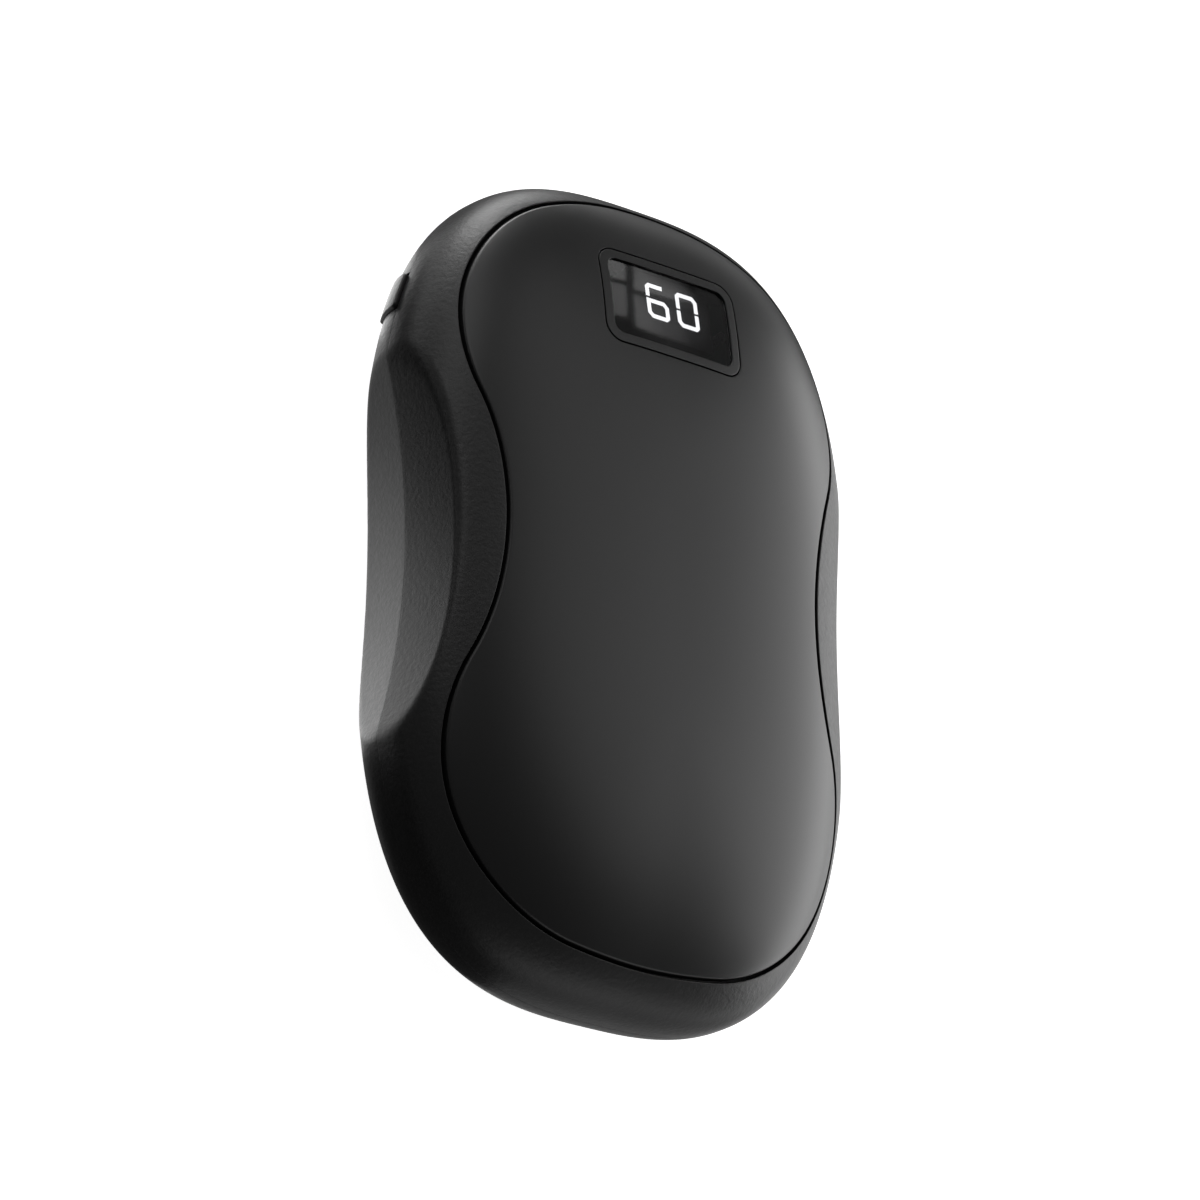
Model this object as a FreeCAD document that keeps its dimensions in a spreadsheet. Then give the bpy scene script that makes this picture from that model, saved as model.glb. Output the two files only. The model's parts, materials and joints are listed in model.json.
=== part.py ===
"""Rechargeable hand warmer: a pebble of two shells with a waisted heat panel, a display and a side button.

The part lies on its back. Z = 0 is the flat land it rests on, +Z comes out of the heat panel, +Y points to
the display end and +X to the right of someone who faces the panel. All lengths are millimetres.
"""
import FreeCAD
import Part
import Sketcher
import math
import os
import re

from FreeCAD import Placement, Rotation, Vector

doc = FreeCAD.newDocument("HandWarmer")

# Driving dimensions
SIZES = {
    # Pebble body
    "half_length": 50.0,
    "half_width": 33.4,
    "front_depth": 13.6,
    "back_depth": 13.6,
    "land_depth": 0.5,
    "outline_power": 2.9,
    "front_power": 2.5,
    "back_power": 2.25,
    "end_draw_share": 0.75,
    "wall": 2.2,
    "front_floor": 1.6,
    "lip_height": 1.2,
    "lip_thickness": 1.0,
    # Finger scoops in the two sides
    "scoop_depth": 4.6,
    "scoop_radius": 74.0,
    "scoop_draft": 4.3,
    "scoop_round": 1.6,
    # Heat panel
    "panel_thickness": 1.2,
    "panel_groove": 0.5,
    "panel_edge_round": 0.35,
    "panel_waist_inset": 10.45,
    "panel_waist_place": 2.5,
    "panel_waist_radius": 38.5,
    "panel_top_inset": 2.3,
    "panel_top_radius": 39.3,
    "panel_top_corner": 20.6,
    "panel_bottom_inset": 4.4,
    "panel_bottom_radius": 65.0,
    "panel_bottom_corner": 21.9,
    # Display window
    "window_width": 20.3,
    "window_length": 12.6,
    "window_corner": 2.4,
    "window_inset": 16.4,
    "bezel_width": 1.1,
    "bezel_corner": 1.4,
    "bezel_groove": 0.2,
    "bezel_edge_round": 0.2,
    "lens_recess": 0.55,
    "lens_gap": 0.06,
    "module_width": 12.4,
    "module_length": 8.4,
    "module_height": 2.4,
    "module_corner": 0.4,
    "module_gap": 0.3,
    "module_side": 1.05,
    "module_shift": 1.0,
    "digit_height": 4.7,
    "digit_width": 3.25,
    "digit_pitch": 4.5,
    "segment_width": 0.5,
    "segment_thickness": 0.15,
    "segment_break": 0.1,
    "segment_corner": 0.2,
    "display_board_width": 23.0,
    "display_board_length": 12.0,
    "display_board_thickness": 0.8,
    "display_post_spread": 9.0,
    "display_post_radius": 1.5,
    "display_screw_radius": 0.6,
    "display_screw_length": 3.0,
    "display_screw_head_radius": 1.2,
    "display_screw_head_height": 0.7,
    "ribbon_width": 7.0,
    "ribbon_thickness": 0.25,
    "ribbon_place": 4.0,
    # Shell screws, driven from under the panel
    "shell_screw_spread": 18.5,
    "shell_screw_inset": 12.0,
    "shell_screw_radius": 1.0,
    "shell_screw_length": 8.0,
    "shell_screw_head_radius": 1.8,
    "shell_screw_head_height": 1.4,
    "shell_boss_radius": 3.0,
    "shell_boss_web": 2.0,
    # Main board
    "board_drop": 4.1,
    "board_thickness": 1.0,
    "board_edge_gap": 0.2,
    "board_reach": 35.0,
    "board_post_radius": 2.2,
    "board_post_spread": 19.0,
    "board_post_near_inset": 30.0,
    "board_post_far_spread": 11.0,
    "board_post_far_inset": 11.0,
    "board_screw_radius": 0.8,
    "board_screw_length": 4.0,
    "board_screw_head_radius": 1.6,
    "board_screw_head_height": 0.9,
    # Charging socket
    "usb_width": 8.94,
    "usb_height": 3.26,
    "usb_corner": 1.5,
    "usb_depth": 7.3,
    "usb_skin": 0.3,
    "usb_setback": 1.0,
    "usb_tongue_width": 6.7,
    "usb_tongue_height": 0.7,
    "usb_tongue_length": 4.5,
    # Power button and its switch
    "button_inset": 18.45,
    "button_rise": 1.6,
    "button_length": 5.8,
    "button_width": 4.6,
    "button_corner": 0.6,
    "button_gap": 0.2,
    "button_seat_gap": 0.3,
    "button_proud": 0.45,
    "button_round": 0.2,
    "button_travel": 0.4,
    "button_flange_rim": 1.1,
    "button_flange_thickness": 0.8,
    "button_nub_radius": 1.2,
    "button_nub_length": 2.5,
    "plunger_radius": 1.0,
    "plunger_gap": 0.15,
    "plunger_reach": 0.6,
    "plunger_root": 1.0,
    "switch_width": 6.0,
    "switch_depth": 3.5,
    "switch_corner": 0.3,
    "switch_bore_slack": 0.4,
    # Battery and heaters
    "cell_width": 39.0,
    "cell_height": 12.0,
    "cell_near_inset": 38.0,
    "cell_far_inset": 17.0,
    "cell_base": 6.0,
    "cell_corner": 2.5,
    "guard_board_width": 26.0,
    "guard_board_height": 7.0,
    "guard_board_thickness": 1.0,
    "film_thickness": 0.3,
    "film_corner": 4.0,
    "front_film_width": 33.0,
    "front_film_far_inset": 17.0,
    "front_film_near_inset": 30.0,
    "rear_film_width": 26.0,
    "rear_film_far_inset": 18.0,
    "rear_film_near_inset": 28.0,
    "pad_margin": 3.0,
    "pad_corner": 4.0,
    "lead_radius": 0.6,
    "lead_spread": 1.5,
    "lead_inset": 32.5,
    "thermistor_radius": 0.8,
    "thermistor_length": 3.2,
    "thermistor_side": 5.0,
    # Parts on the main board
    "plug_width": 6.0,
    "plug_length": 4.5,
    "plug_height": 3.6,
    "plug_corner": 0.3,
    "plug_side": 9.0,
    "plug_stand_off": 5.0,
    "chip_width": 5.0,
    "chip_height": 0.9,
    "chip_corner": 0.2,
    "chip_spread": 8.5,
    "chip_inset": 24.2,
    "inductor_width": 6.6,
    "inductor_height": 3.0,
    "inductor_corner": 1.0,
    "inductor_side": 13.5,
    "inductor_inset": 17.4,
    "capacitor_width": 1.6,
    "capacitor_length": 3.2,
    "capacitor_height": 1.4,
    "capacitor_corner": 0.2,
    "capacitor_pitch": 3.0,
    "capacitor_side": 7.0,
    "capacitor_inset": 16.4,
    # Clearances and the overrun of every cut
    "fit_gap": 0.1,
    "bond_gap": 0.05,
    "hole_gap": 0.15,
    "overrun": 1.0,
}

sheet = doc.addObject("Spreadsheet::Sheet", "Sizes")
for row, (alias, value) in enumerate(SIZES.items(), start=1):
    sheet.set(f"A{row}", alias)
    sheet.set(f"B{row}", str(value))
    sheet.setAlias(f"B{row}", alias)
doc.recompute()

# Names in a formula that are sizes of the sheet
WORD = re.compile(r"[a-z][a-z_]+")


def cells(formula):
    """A formula in size names, written so that the document reads each size from the sheet."""
    def cell(found):
        word = found.group()
        return "Sizes." + word if word in SIZES else word

    return WORD.sub(cell, formula)


def size(name):
    """The value that the sheet holds for one size."""
    return float(sheet.get(name))


def bind(thing, **formulas):
    """Ties properties to formulas in size names; a double underscore stands for a dot."""
    for name, formula in formulas.items():
        thing.setExpression(name.replace("__", "."), cells(formula))


def put(thing, x="0", y="0", z="0"):
    """Places an object at three formulas."""
    bind(thing, Placement__Base__x=x, Placement__Base__y=y, Placement__Base__z=z)
    return thing


# Heights that several pieces share, as formulas
PARTING = "(back_depth - land_depth)"
BOARD_TOP = f"({PARTING} - board_drop)"
BOARD_BASE = f"({BOARD_TOP} - board_thickness)"
CELL_TOP = "(cell_base + cell_height)"
CELL_END = "(half_length - cell_near_inset)"
CELL_LENGTH = "(2 * half_length - cell_near_inset - cell_far_inset)"
CELL_PLACE = "((cell_far_inset - cell_near_inset) / 2)"
SOCKET_HEIGHT = f"({BOARD_TOP} + usb_height / 2)"

# Places along the part that keep their distance from the display end, as formulas
WINDOW_PLACE = "(half_length - window_inset)"
SCREW_REACH = "(half_length - shell_screw_inset)"
POST_NEAR = "(half_length - board_post_near_inset)"
POST_FAR = "(half_length - board_post_far_inset)"
LEAD_PLACE = "(half_length - lead_inset)"

parting = size("back_depth") - size("land_depth")


# How near a point must be to count as on a surface
TOUCH = 1e-3
# Steps that settle a height by halving
HALVINGS = 40


# Heights of the loft's sections, as shares of the depth on each side of the parting plane
FRONT_SECTION_SHARES = (0.0, 0.1, 0.25, 0.4, 0.55, 0.68, 0.8, 0.89, 0.94, 0.967, 0.984, 0.993, 0.998)
BACK_SECTION_SHARES = (0.0, 0.1, 0.25, 0.4, 0.55, 0.68, 0.8, 0.89, 1.0)
OUTLINE_POINTS = 32
# Passes that settle a closed curve's poles
CURVE_PASSES = 40
# The outline starts at the middle of the end away from the display
SEAM_TURN_SHARE = 0.25


def width_share(height_share, power):
    """Width of the section at a share of the depth, as a share of the full width."""
    return max(1.0 - height_share ** power, 0.0) ** (1.0 / power)


def closed_curve(points):
    """Smooth closed curve through points, the same on both sides of its start."""
    count = len(points)
    poles = list(points)
    for _ in range(CURVE_PASSES):
        poles = [(points[n] * 6.0 - poles[n - 1] - poles[(n + 1) % count]) * 0.25 for n in range(count)]
    # The first pole pulls the curve's start from one point before it
    poles = poles[-1:] + poles[:-1]
    curve = Part.BSplineCurve()
    curve.buildFromPolesMultsKnots(poles, [1] * (count + 1), list(range(count + 1)), True, 3)
    return curve


def section(half_width, half_length, height):
    """Closed superellipse curve at one height."""
    power = size("outline_power")
    points = []
    for step in range(OUTLINE_POINTS):
        angle = 2.0 * math.pi * (step / OUTLINE_POINTS - SEAM_TURN_SHARE)
        across = abs(math.cos(angle) / half_width) ** power
        along = abs(math.sin(angle) / half_length) ** power
        radius = (across + along) ** (-1.0 / power)
        points.append(Vector(radius * math.cos(angle), radius * math.sin(angle), height))
    return Part.Wire(closed_curve(points).toShape())


def half_pebble(front, side_inset, depth_inset):
    """Front or back half of the pebble, drawn in by an inset at its sides and another at its depth."""
    half_width = size("half_width") - side_inset
    half_length = size("half_length") - side_inset
    if front:
        depth = size("front_depth") - depth_inset
        power = size("front_power")
        shares = FRONT_SECTION_SHARES
        lift = 1.0
    else:
        depth = size("back_depth") - depth_inset
        power = size("back_power")
        land_share = 1.0 - size("land_depth") / size("back_depth")
        shares = [share * land_share for share in BACK_SECTION_SHARES]
        lift = -1.0
    wires = []
    for share in shares:
        across = width_share(share, power)
        along = 1.0 - (1.0 - across) * size("end_draw_share")
        wires.append(section(half_width * across, half_length * along, parting + lift * depth * share))
    return Part.makeLoft(wires, True, False)


def front_height(x, y, inset):
    """Height of the front half's surface above a point, by halving the interval."""
    low = 0.0
    high = 1.0
    power = size("outline_power")
    for _ in range(HALVINGS):
        middle = (low + high) / 2.0
        across = width_share(middle, size("front_power"))
        along = 1.0 - (1.0 - across) * size("end_draw_share")
        half_width = (size("half_width") - inset) * across
        half_length = (size("half_length") - inset) * along
        reach = (abs(x) / max(half_width, TOUCH)) ** power if x else 0.0
        if reach + (abs(y) / half_length) ** power < 1.0:
            low = middle
        else:
            high = middle
    return parting + (size("front_depth") - inset) * low


def form(name, front, side_inset, depth_inset=None):
    """One half of the pebble as an object of the document."""
    thing = doc.addObject("Part::Feature", name)
    thing.Shape = half_pebble(front, side_inset, side_inset if depth_inset is None else depth_inset)
    return thing


# Small makers

def box(name, wide, long, tall, x="0", y="0", z="0"):
    """Box centred on x and y that stands on z."""
    thing = doc.addObject("Part::Box", name)
    bind(thing, Length=wide, Width=long, Height=tall)
    return put(thing, f"{x} - ({wide}) / 2", f"{y} - ({long}) / 2", z)


def cylinder(name, radius, tall, x="0", y="0", z="0"):
    """Upright cylinder that stands on z."""
    thing = doc.addObject("Part::Cylinder", name)
    bind(thing, Radius=radius, Height=tall)
    return put(thing, x, y, z)


def joined(name, things):
    """Several objects fused into one."""
    thing = doc.addObject("Part::MultiFuse", name)
    thing.Shapes = things
    thing.Refine = False
    return thing


def cut(name, base, *tools):
    """A base with one or more tools cut out of it."""
    thing = doc.addObject("Part::Cut", name)
    thing.Base = base
    thing.Tool = tools[0] if len(tools) == 1 else joined(name + "_tools", list(tools))
    thing.Refine = False
    return thing


def common(name, first, second):
    """What two objects have in common."""
    thing = doc.addObject("Part::Common", name)
    thing.Base = first
    thing.Tool = second
    thing.Refine = False
    return thing


def group(name, things):
    """Separate solids kept as one piece group."""
    thing = doc.addObject("Part::Compound", name)
    thing.Links = things
    return thing


def upright_edges(shape):
    """Names of a padded sketch's straight corner edges, which run along Z."""
    names = []
    for number, edge in enumerate(shape.Edges, start=1):
        run = edge.Vertexes[-1].Point - edge.Vertexes[0].Point
        if abs(run.z) > abs(run.x) + abs(run.y):
            names.append(f"Edge{number}")
    return names


def plate(name, wide, long, thick, corner):
    """Body padded from a rectangle about its origin, with rounded corners."""
    body = doc.addObject("PartDesign::Body", name)
    sketch = body.newObject("Sketcher::SketchObject", name + "_outline")
    plane = next(part for part in body.Origin.OriginFeatures if part.Role == "XY_Plane")
    sketch.AttachmentSupport = [(plane, "")]
    sketch.MapMode = "FlatFace"
    corners = [Vector(-1, -1, 0), Vector(1, -1, 0), Vector(1, 1, 0), Vector(-1, 1, 0)]
    for number in range(4):
        sketch.addGeometry(Part.LineSegment(corners[number], corners[(number + 1) % 4]))
    for number in range(4):
        sketch.addConstraint(Sketcher.Constraint("Coincident", number, 2, (number + 1) % 4, 1))
    sketch.addConstraint(Sketcher.Constraint("Horizontal", 0))
    sketch.addConstraint(Sketcher.Constraint("Horizontal", 2))
    sketch.addConstraint(Sketcher.Constraint("Vertical", 1))
    sketch.addConstraint(Sketcher.Constraint("Vertical", 3))
    sketch.addConstraint(Sketcher.Constraint("Symmetric", 0, 1, 2, 1, -1, 1))
    across = sketch.addConstraint(Sketcher.Constraint("DistanceX", 0, 1, 0, 2, 2.0))
    along = sketch.addConstraint(Sketcher.Constraint("DistanceY", 1, 1, 1, 2, 2.0))
    sketch.setExpression(f"Constraints[{across}]", cells(wide))
    sketch.setExpression(f"Constraints[{along}]", cells(long))
    pad = body.newObject("PartDesign::Pad", name + "_pad")
    pad.Profile = sketch
    bind(pad, Length=thick)
    doc.recompute()
    rounding = body.newObject("PartDesign::Fillet", name + "_corners")
    rounding.Base = (pad, upright_edges(pad.Shape))
    bind(rounding, Radius=corner)
    return body


def placed(thing, place):
    """Gives an object a worked-out placement."""
    thing.Placement = place
    return thing


def raised(name, outline, tall):
    """Solid raised from a flat outline along Z."""
    thing = doc.addObject("Part::Extrusion", name)
    thing.Base = outline
    thing.DirMode = "Custom"
    thing.Dir = Vector(0, 0, 1)
    thing.Solid = True
    bind(thing, LengthFwd=tall)
    return thing


def edges_on(shape, test):
    """Numbers of the edges whose whole length passes a test on points."""
    numbers = []
    for number, edge in enumerate(shape.Edges, start=1):
        if all(test(point) for point in edge.discretize(7)):
            numbers.append(number)
    return numbers


def rounded(name, base, numbers, radius):
    """A base with some of its edges rounded."""
    thing = doc.addObject("Part::Fillet", name)
    thing.Base = base
    thing.Edges = [(number, radius, radius) for number in numbers]
    return thing


# Finger scoops

def scoop(name, left, front, offset="0"):
    """Cone that opens away from the parting plane and cuts one scoop out of one shell."""
    reach = "front_depth" if front else "back_depth"
    thing = doc.addObject("Part::Cone", name)
    bind(
        thing,
        Radius1=f"scoop_radius + {offset}",
        Radius2=f"scoop_radius + {offset} + {reach} * tan(scoop_draft * 1 deg)",
        Height=reach,
    )
    # The cone's own seam is turned away from the body
    turn_axis = {
        (True, True): Vector(0, 0, 1),
        (True, False): Vector(0, 1, 0),
        (False, False): Vector(1, 0, 0),
    }.get((left, front))
    if turn_axis is not None:
        thing.Placement = Placement(Vector(), Rotation(turn_axis, 180))
    side = "-1" if left else "1"
    return put(thing, f"{side} * (half_width - scoop_depth + scoop_radius)", "0", PARTING)


def scooped(name, base, front, offset="0"):
    """A half of the pebble with both scoops cut out of it."""
    left = scoop(name + "_left_scoop", True, front, offset)
    right = scoop(name + "_right_scoop", False, front, offset)
    return cut(name, base, left, right)


def on_scoop(point):
    """Whether a point lies on the wall of a scoop, off the parting plane or on it."""
    axis = size("half_width") - size("scoop_depth") + size("scoop_radius")
    growth = abs(point.z - parting) * math.tan(math.radians(size("scoop_draft")))
    return abs(math.hypot(abs(point.x) - axis, point.y) - size("scoop_radius") - growth) < TOUCH


def scoop_rounded(name, base):
    """A scooped half with the long edges of its scoops rounded."""
    doc.recompute()
    rims = []
    for number in edges_on(base.Shape, on_scoop):
        points = base.Shape.Edges[number - 1].discretize(3)
        if abs(points[1].z - parting) > TOUCH:
            rims.append(number)
    return rounded(name, base, rims, size("scoop_round"))


# Panel outline

def outward(centre, point, radius):
    """Point on a circle in the direction of another point."""
    return centre + (point - centre).normalize() * radius


def lobe(waist_centre, waist_radius, end, up, inset):
    """Right-hand points of one end of the panel: end, corner start, corner middle and waist join."""
    radius = size(f"panel_{end}_radius") - inset
    corner = size(f"panel_{end}_corner") - inset
    reach = size("half_length") - size(f"panel_{end}_inset") - inset
    end_centre = Vector(0, up * (reach - radius), 0)
    # The corner's centre lies at known distances from the centres of the end arc and the waist arc
    apart = (waist_centre - end_centre).Length
    ahead = (waist_centre - end_centre).normalize()
    from_end = radius - corner
    from_waist = waist_radius + corner
    along = (from_end ** 2 - from_waist ** 2 + apart ** 2) / (2.0 * apart)
    aside = math.sqrt(from_end ** 2 - along ** 2)
    across = Vector(-ahead.y, ahead.x, 0) * up
    corner_centre = end_centre + ahead * along + across * aside
    start = outward(end_centre, corner_centre, radius)
    join = outward(corner_centre, waist_centre, corner)
    middle = outward(corner_centre, (start + join) * 0.5, corner)
    return Vector(0, up * reach, 0), start, middle, join


def panel_prism(name, inset):
    """Upright prism of the waisted panel outline of tangent arcs, drawn in by an inset."""
    waist = size("half_width") - size("panel_waist_inset") - inset
    waist_radius = size("panel_waist_radius") + inset
    waist_point = Vector(waist, size("panel_waist_place"), 0)
    waist_centre = waist_point + Vector(waist_radius, 0, 0)
    top_end, top_start, top_middle, top_join = lobe(waist_centre, waist_radius, "top", 1, inset)
    low_end, low_start, low_middle, low_join = lobe(waist_centre, waist_radius, "bottom", -1, inset)
    right = [
        (top_start, top_middle, top_join),
        (top_join, waist_point, low_join),
        (low_join, low_middle, low_start),
    ]
    left = [tuple(Vector(-point.x, point.y, 0) for point in reversed(arc)) for arc in reversed(right)]
    low = (low_start, low_end, left[0][0])
    top = (left[-1][-1], top_end, top_start)
    arcs = [Part.Arc(*arc).toShape() for arc in right + [low] + left + [top]]
    outline = doc.addObject("Part::Feature", name + "_outline")
    outline.Shape = Part.Face(Part.Wire(arcs))
    outline.Placement = Placement(Vector(0, 0, parting), Rotation())
    return raised(name, outline, "front_depth + overrun")


# Forms shared by several pieces
panel_under = size("panel_thickness")
seat_inset = panel_under + size("bond_gap")
film_inset = seat_inset + size("film_thickness")
lip_inset = size("wall") - size("lip_thickness")
front_outer = form("front_outer", True, 0.0)
panel_floor = form("panel_floor", True, panel_under)
seat_floor = form("seat_floor", True, seat_inset)
front_cavity_form = form("front_cavity_form", True, size("wall"), panel_under + size("front_floor"))
front_cavity = scooped("front_cavity", front_cavity_form, True, "wall")
rear_outer = form("rear_outer", False, 0.0)
rear_cavity = scooped("rear_cavity", form("rear_cavity_form", False, size("wall")), False, "wall")


def flat_outline(inset):
    """Face of the body's outline on the parting plane, scoops included, drawn in by an inset."""
    face = Part.Face(section(size("half_width") - inset, size("half_length") - inset, parting))
    axis = size("half_width") - size("scoop_depth") + size("scoop_radius")
    for side in (-1, 1):
        circle = Part.makeCircle(size("scoop_radius") + inset, Vector(side * axis, 0, parting))
        face = face.cut(Part.Face(Part.Wire(circle)))
    return face


def lip_ring(name, outer_inset, inner_inset, tall):
    """Straight ring that stands on the parting plane between two insets of the outline."""
    outline = doc.addObject("Part::Feature", name + "_outline")
    outline.Shape = flat_outline(outer_inset).cut(flat_outline(inner_inset))
    return raised(name, outline, tall)


# Places of the shell screws and of the main board's screws
SHELL_SCREWS = [(f"{x} * shell_screw_spread", f"{y} * {SCREW_REACH}") for x in (-1, 1) for y in (-1, 1)]
BOARD_SCREWS = [(f"{x} * board_post_spread", POST_NEAR) for x in (-1, 1)]
BOARD_SCREWS += [(f"{x} * board_post_far_spread", POST_FAR) for x in (-1, 1)]


def cylinders(name, places, radius, tall, z):
    """The same upright cylinder at several places."""
    return [cylinder(f"{name}_{number}", radius, tall, x, y, z) for number, (x, y) in enumerate(places)]


# Frame of the display, tilted with the front and set under the lens
half_window = size("window_length") / 2.0
window_place = size("half_length") - size("window_inset")
lens_under = front_height(0.0, window_place, panel_under)
rise = front_height(0.0, window_place + half_window, panel_under)
rise -= front_height(0.0, window_place - half_window, panel_under)
display_tilt = math.degrees(math.atan2(rise, 2.0 * half_window))
display_frame = Placement(Vector(0, window_place, lens_under), Rotation(Vector(1, 0, 0), display_tilt))
module_centre = Vector(size("module_side"), size("module_shift"), 0)


def module_fall():
    """How far the lens falls below the display's plane at the module's corners."""
    falls = []
    for across in (-0.5, 0.5):
        for along in (-0.5, 0.5):
            corner = Vector(across * size("module_width"), along * size("module_length"), 0)
            point = display_frame.multVec(module_centre + corner)
            falls.append(point.z - front_height(point.x, point.y, panel_under))
    return max(falls)


module_top = -module_fall() - size("module_gap")
display_board_top = module_top - size("module_height")


def on_display(thing, x=0.0, y=0.0, z=0.0):
    """Places an object in the display's tilted frame."""
    return placed(thing, display_frame.multiply(Placement(Vector(x, y, z), Rotation())))


def window_prism(name, inset, corner):
    """Upright prism of the display window's outline, drawn in by an inset."""
    body = plate(
        name,
        f"window_width - 2 * ({inset})",
        f"window_length - 2 * ({inset})",
        "front_depth + overrun",
        corner,
    )
    return put(body, y=WINDOW_PLACE, z=PARTING)


# Frame of the power button: local X runs along the wall, local Y up and local Z out of the wall
outline_power = size("outline_power")
button_y = size("half_length") - size("button_inset")
button_rest = 1.0 - (button_y / size("half_length")) ** outline_power
button_x = -size("half_width") * button_rest ** (1.0 / outline_power)
button_out = Vector(
    -(abs(button_x) ** (outline_power - 1.0)) / size("half_width") ** outline_power,
    button_y ** (outline_power - 1.0) / size("half_length") ** outline_power,
    0,
).normalize()
button_along = Vector(-button_out.y, button_out.x, 0)
button_z = parting - size("board_drop") + size("button_rise")
button_turn = Rotation(button_along, Vector(0, 0, 1), button_out, "XYZ")
button_frame = Placement(Vector(button_x, button_y, button_z), button_turn)
flange_face = -size("wall") - size("button_seat_gap")
flange_back = flange_face - size("button_flange_thickness")
nub_end = flange_back - size("button_nub_length")
switch_face = nub_end - size("plunger_reach")


def on_button(thing, depth):
    """Places an object in the button's frame, a depth out of the wall."""
    return placed(thing, button_frame.multiply(Placement(Vector(0, 0, depth), Rotation())))


def button_cylinder(name, radius, tall, depth):
    """Cylinder along the button's travel that starts at a depth and runs outwards."""
    thing = doc.addObject("Part::Cylinder", name)
    bind(thing, Radius=radius, Height=tall)
    return on_button(thing, depth)


# Sub-parts, by label
PARTS = {}


def keep(label, thing):
    """Keeps an object as a sub-part under its own label."""
    thing.Label = label
    PARTS[label] = thing
    return thing


def make_front_shell():
    """Upper shell: domed wall, panel recess, screw bosses, display posts and a rebate for the lip."""
    block = scoop_rounded("front_block", scooped("front_scooped", front_outer, True))
    posts = cylinders("front_boss", SHELL_SCREWS, "shell_boss_radius", "front_depth + overrun",
                      f"{PARTING} - overrun")
    bores = cylinders("shank_bore", SHELL_SCREWS, "shell_screw_radius + hole_gap", "front_depth",
                      f"{PARTING} - overrun")
    for side in (-1, 1):
        spread = side * size("display_post_spread")
        post = doc.addObject("Part::Cylinder", f"display_post_{side + 1}")
        bind(post, Radius="display_post_radius", Height="module_height + front_floor + overrun")
        posts.append(on_display(post, x=spread, z=display_board_top))
        pilot = doc.addObject("Part::Cylinder", f"display_pilot_{side + 1}")
        bind(pilot, Radius="display_screw_radius + fit_gap")
        bind(pilot, Height="display_screw_length - display_board_thickness + fit_gap")
        bores.append(on_display(pilot, x=spread, z=display_board_top))
        bores.append(cylinder(f"lead_hole_{side + 1}", "lead_radius + hole_gap", "front_depth + overrun",
                              f"{side} * lead_spread", LEAD_PLACE, PARTING))
    # The posts are what the cavity leaves standing
    hollow = cut("front_hollow", front_cavity, group("front_post_set", posts))
    hull = cut("front_hull", block, hollow)
    recess = cut("panel_recess", panel_prism("recess_prism", 0.0), seat_floor)
    body = cut("front_recessed", hull, recess)
    opening = plate(
        "module_opening",
        "module_width + 2 * hole_gap",
        "module_length + 2 * hole_gap",
        "module_height + front_floor + overrun",
        "module_corner + hole_gap",
    )
    on_display(opening, module_centre.x, module_centre.y, display_board_top)
    body = cut("front_windowed", body, opening)
    pocket_floor = form("pocket_floor", True, film_inset + size("bond_gap"))
    pocket_prism = film_prism("film_pocket_prism", "front_film", "fit_gap", PARTING)
    pocket = cut("film_pocket", pocket_prism, pocket_floor)
    body = cut("front_pocketed", body, pocket)
    heads = cylinders("head_bore", SHELL_SCREWS, "shell_screw_head_radius + hole_gap", "front_depth",
                      f"{PARTING} + shell_boss_web")
    body = cut("front_head_bored", body, group("head_bores", heads))
    body = cut("front_bored", body, group("front_bores", bores))
    gap = size("fit_gap")
    rebate = lip_ring("lip_rebate", lip_inset - gap, size("wall") + gap, "lip_height + fit_gap")
    keep("front_shell", cut("front_rebated", body, rebate))


def film_prism(name, film, margin, base):
    """Upright prism of a heater film's outline, grown by a margin."""
    body = plate(
        name,
        f"{film}_width + 2 * ({margin})",
        f"2 * half_length - {film}_near_inset - {film}_far_inset + 2 * ({margin})",
        "front_depth + overrun",
        f"film_corner + ({margin})",
    )
    return put(body, y=f"({film}_far_inset - {film}_near_inset) / 2", z=base)


def make_front_panel():
    """Waisted heat plate that lies flush in the front, with its top edges rounded and a window cut out."""
    blank = common("panel_blank", panel_prism("panel_prism", size("panel_groove")), front_outer)
    window = window_prism("window_cut", "0", "window_corner")
    panel = cut("panel_plate", blank, panel_floor, window)
    doc.recompute()
    rim = edges_on(panel.Shape, on_front)
    keep("front_panel", rounded("panel_rounded", panel, rim, size("panel_edge_round")))


def on_front(point):
    """Whether a point lies near the pebble's front surface."""
    return point.z - front_height(point.x, point.y, 0.0) > -size("panel_thickness") / 2.0


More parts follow.
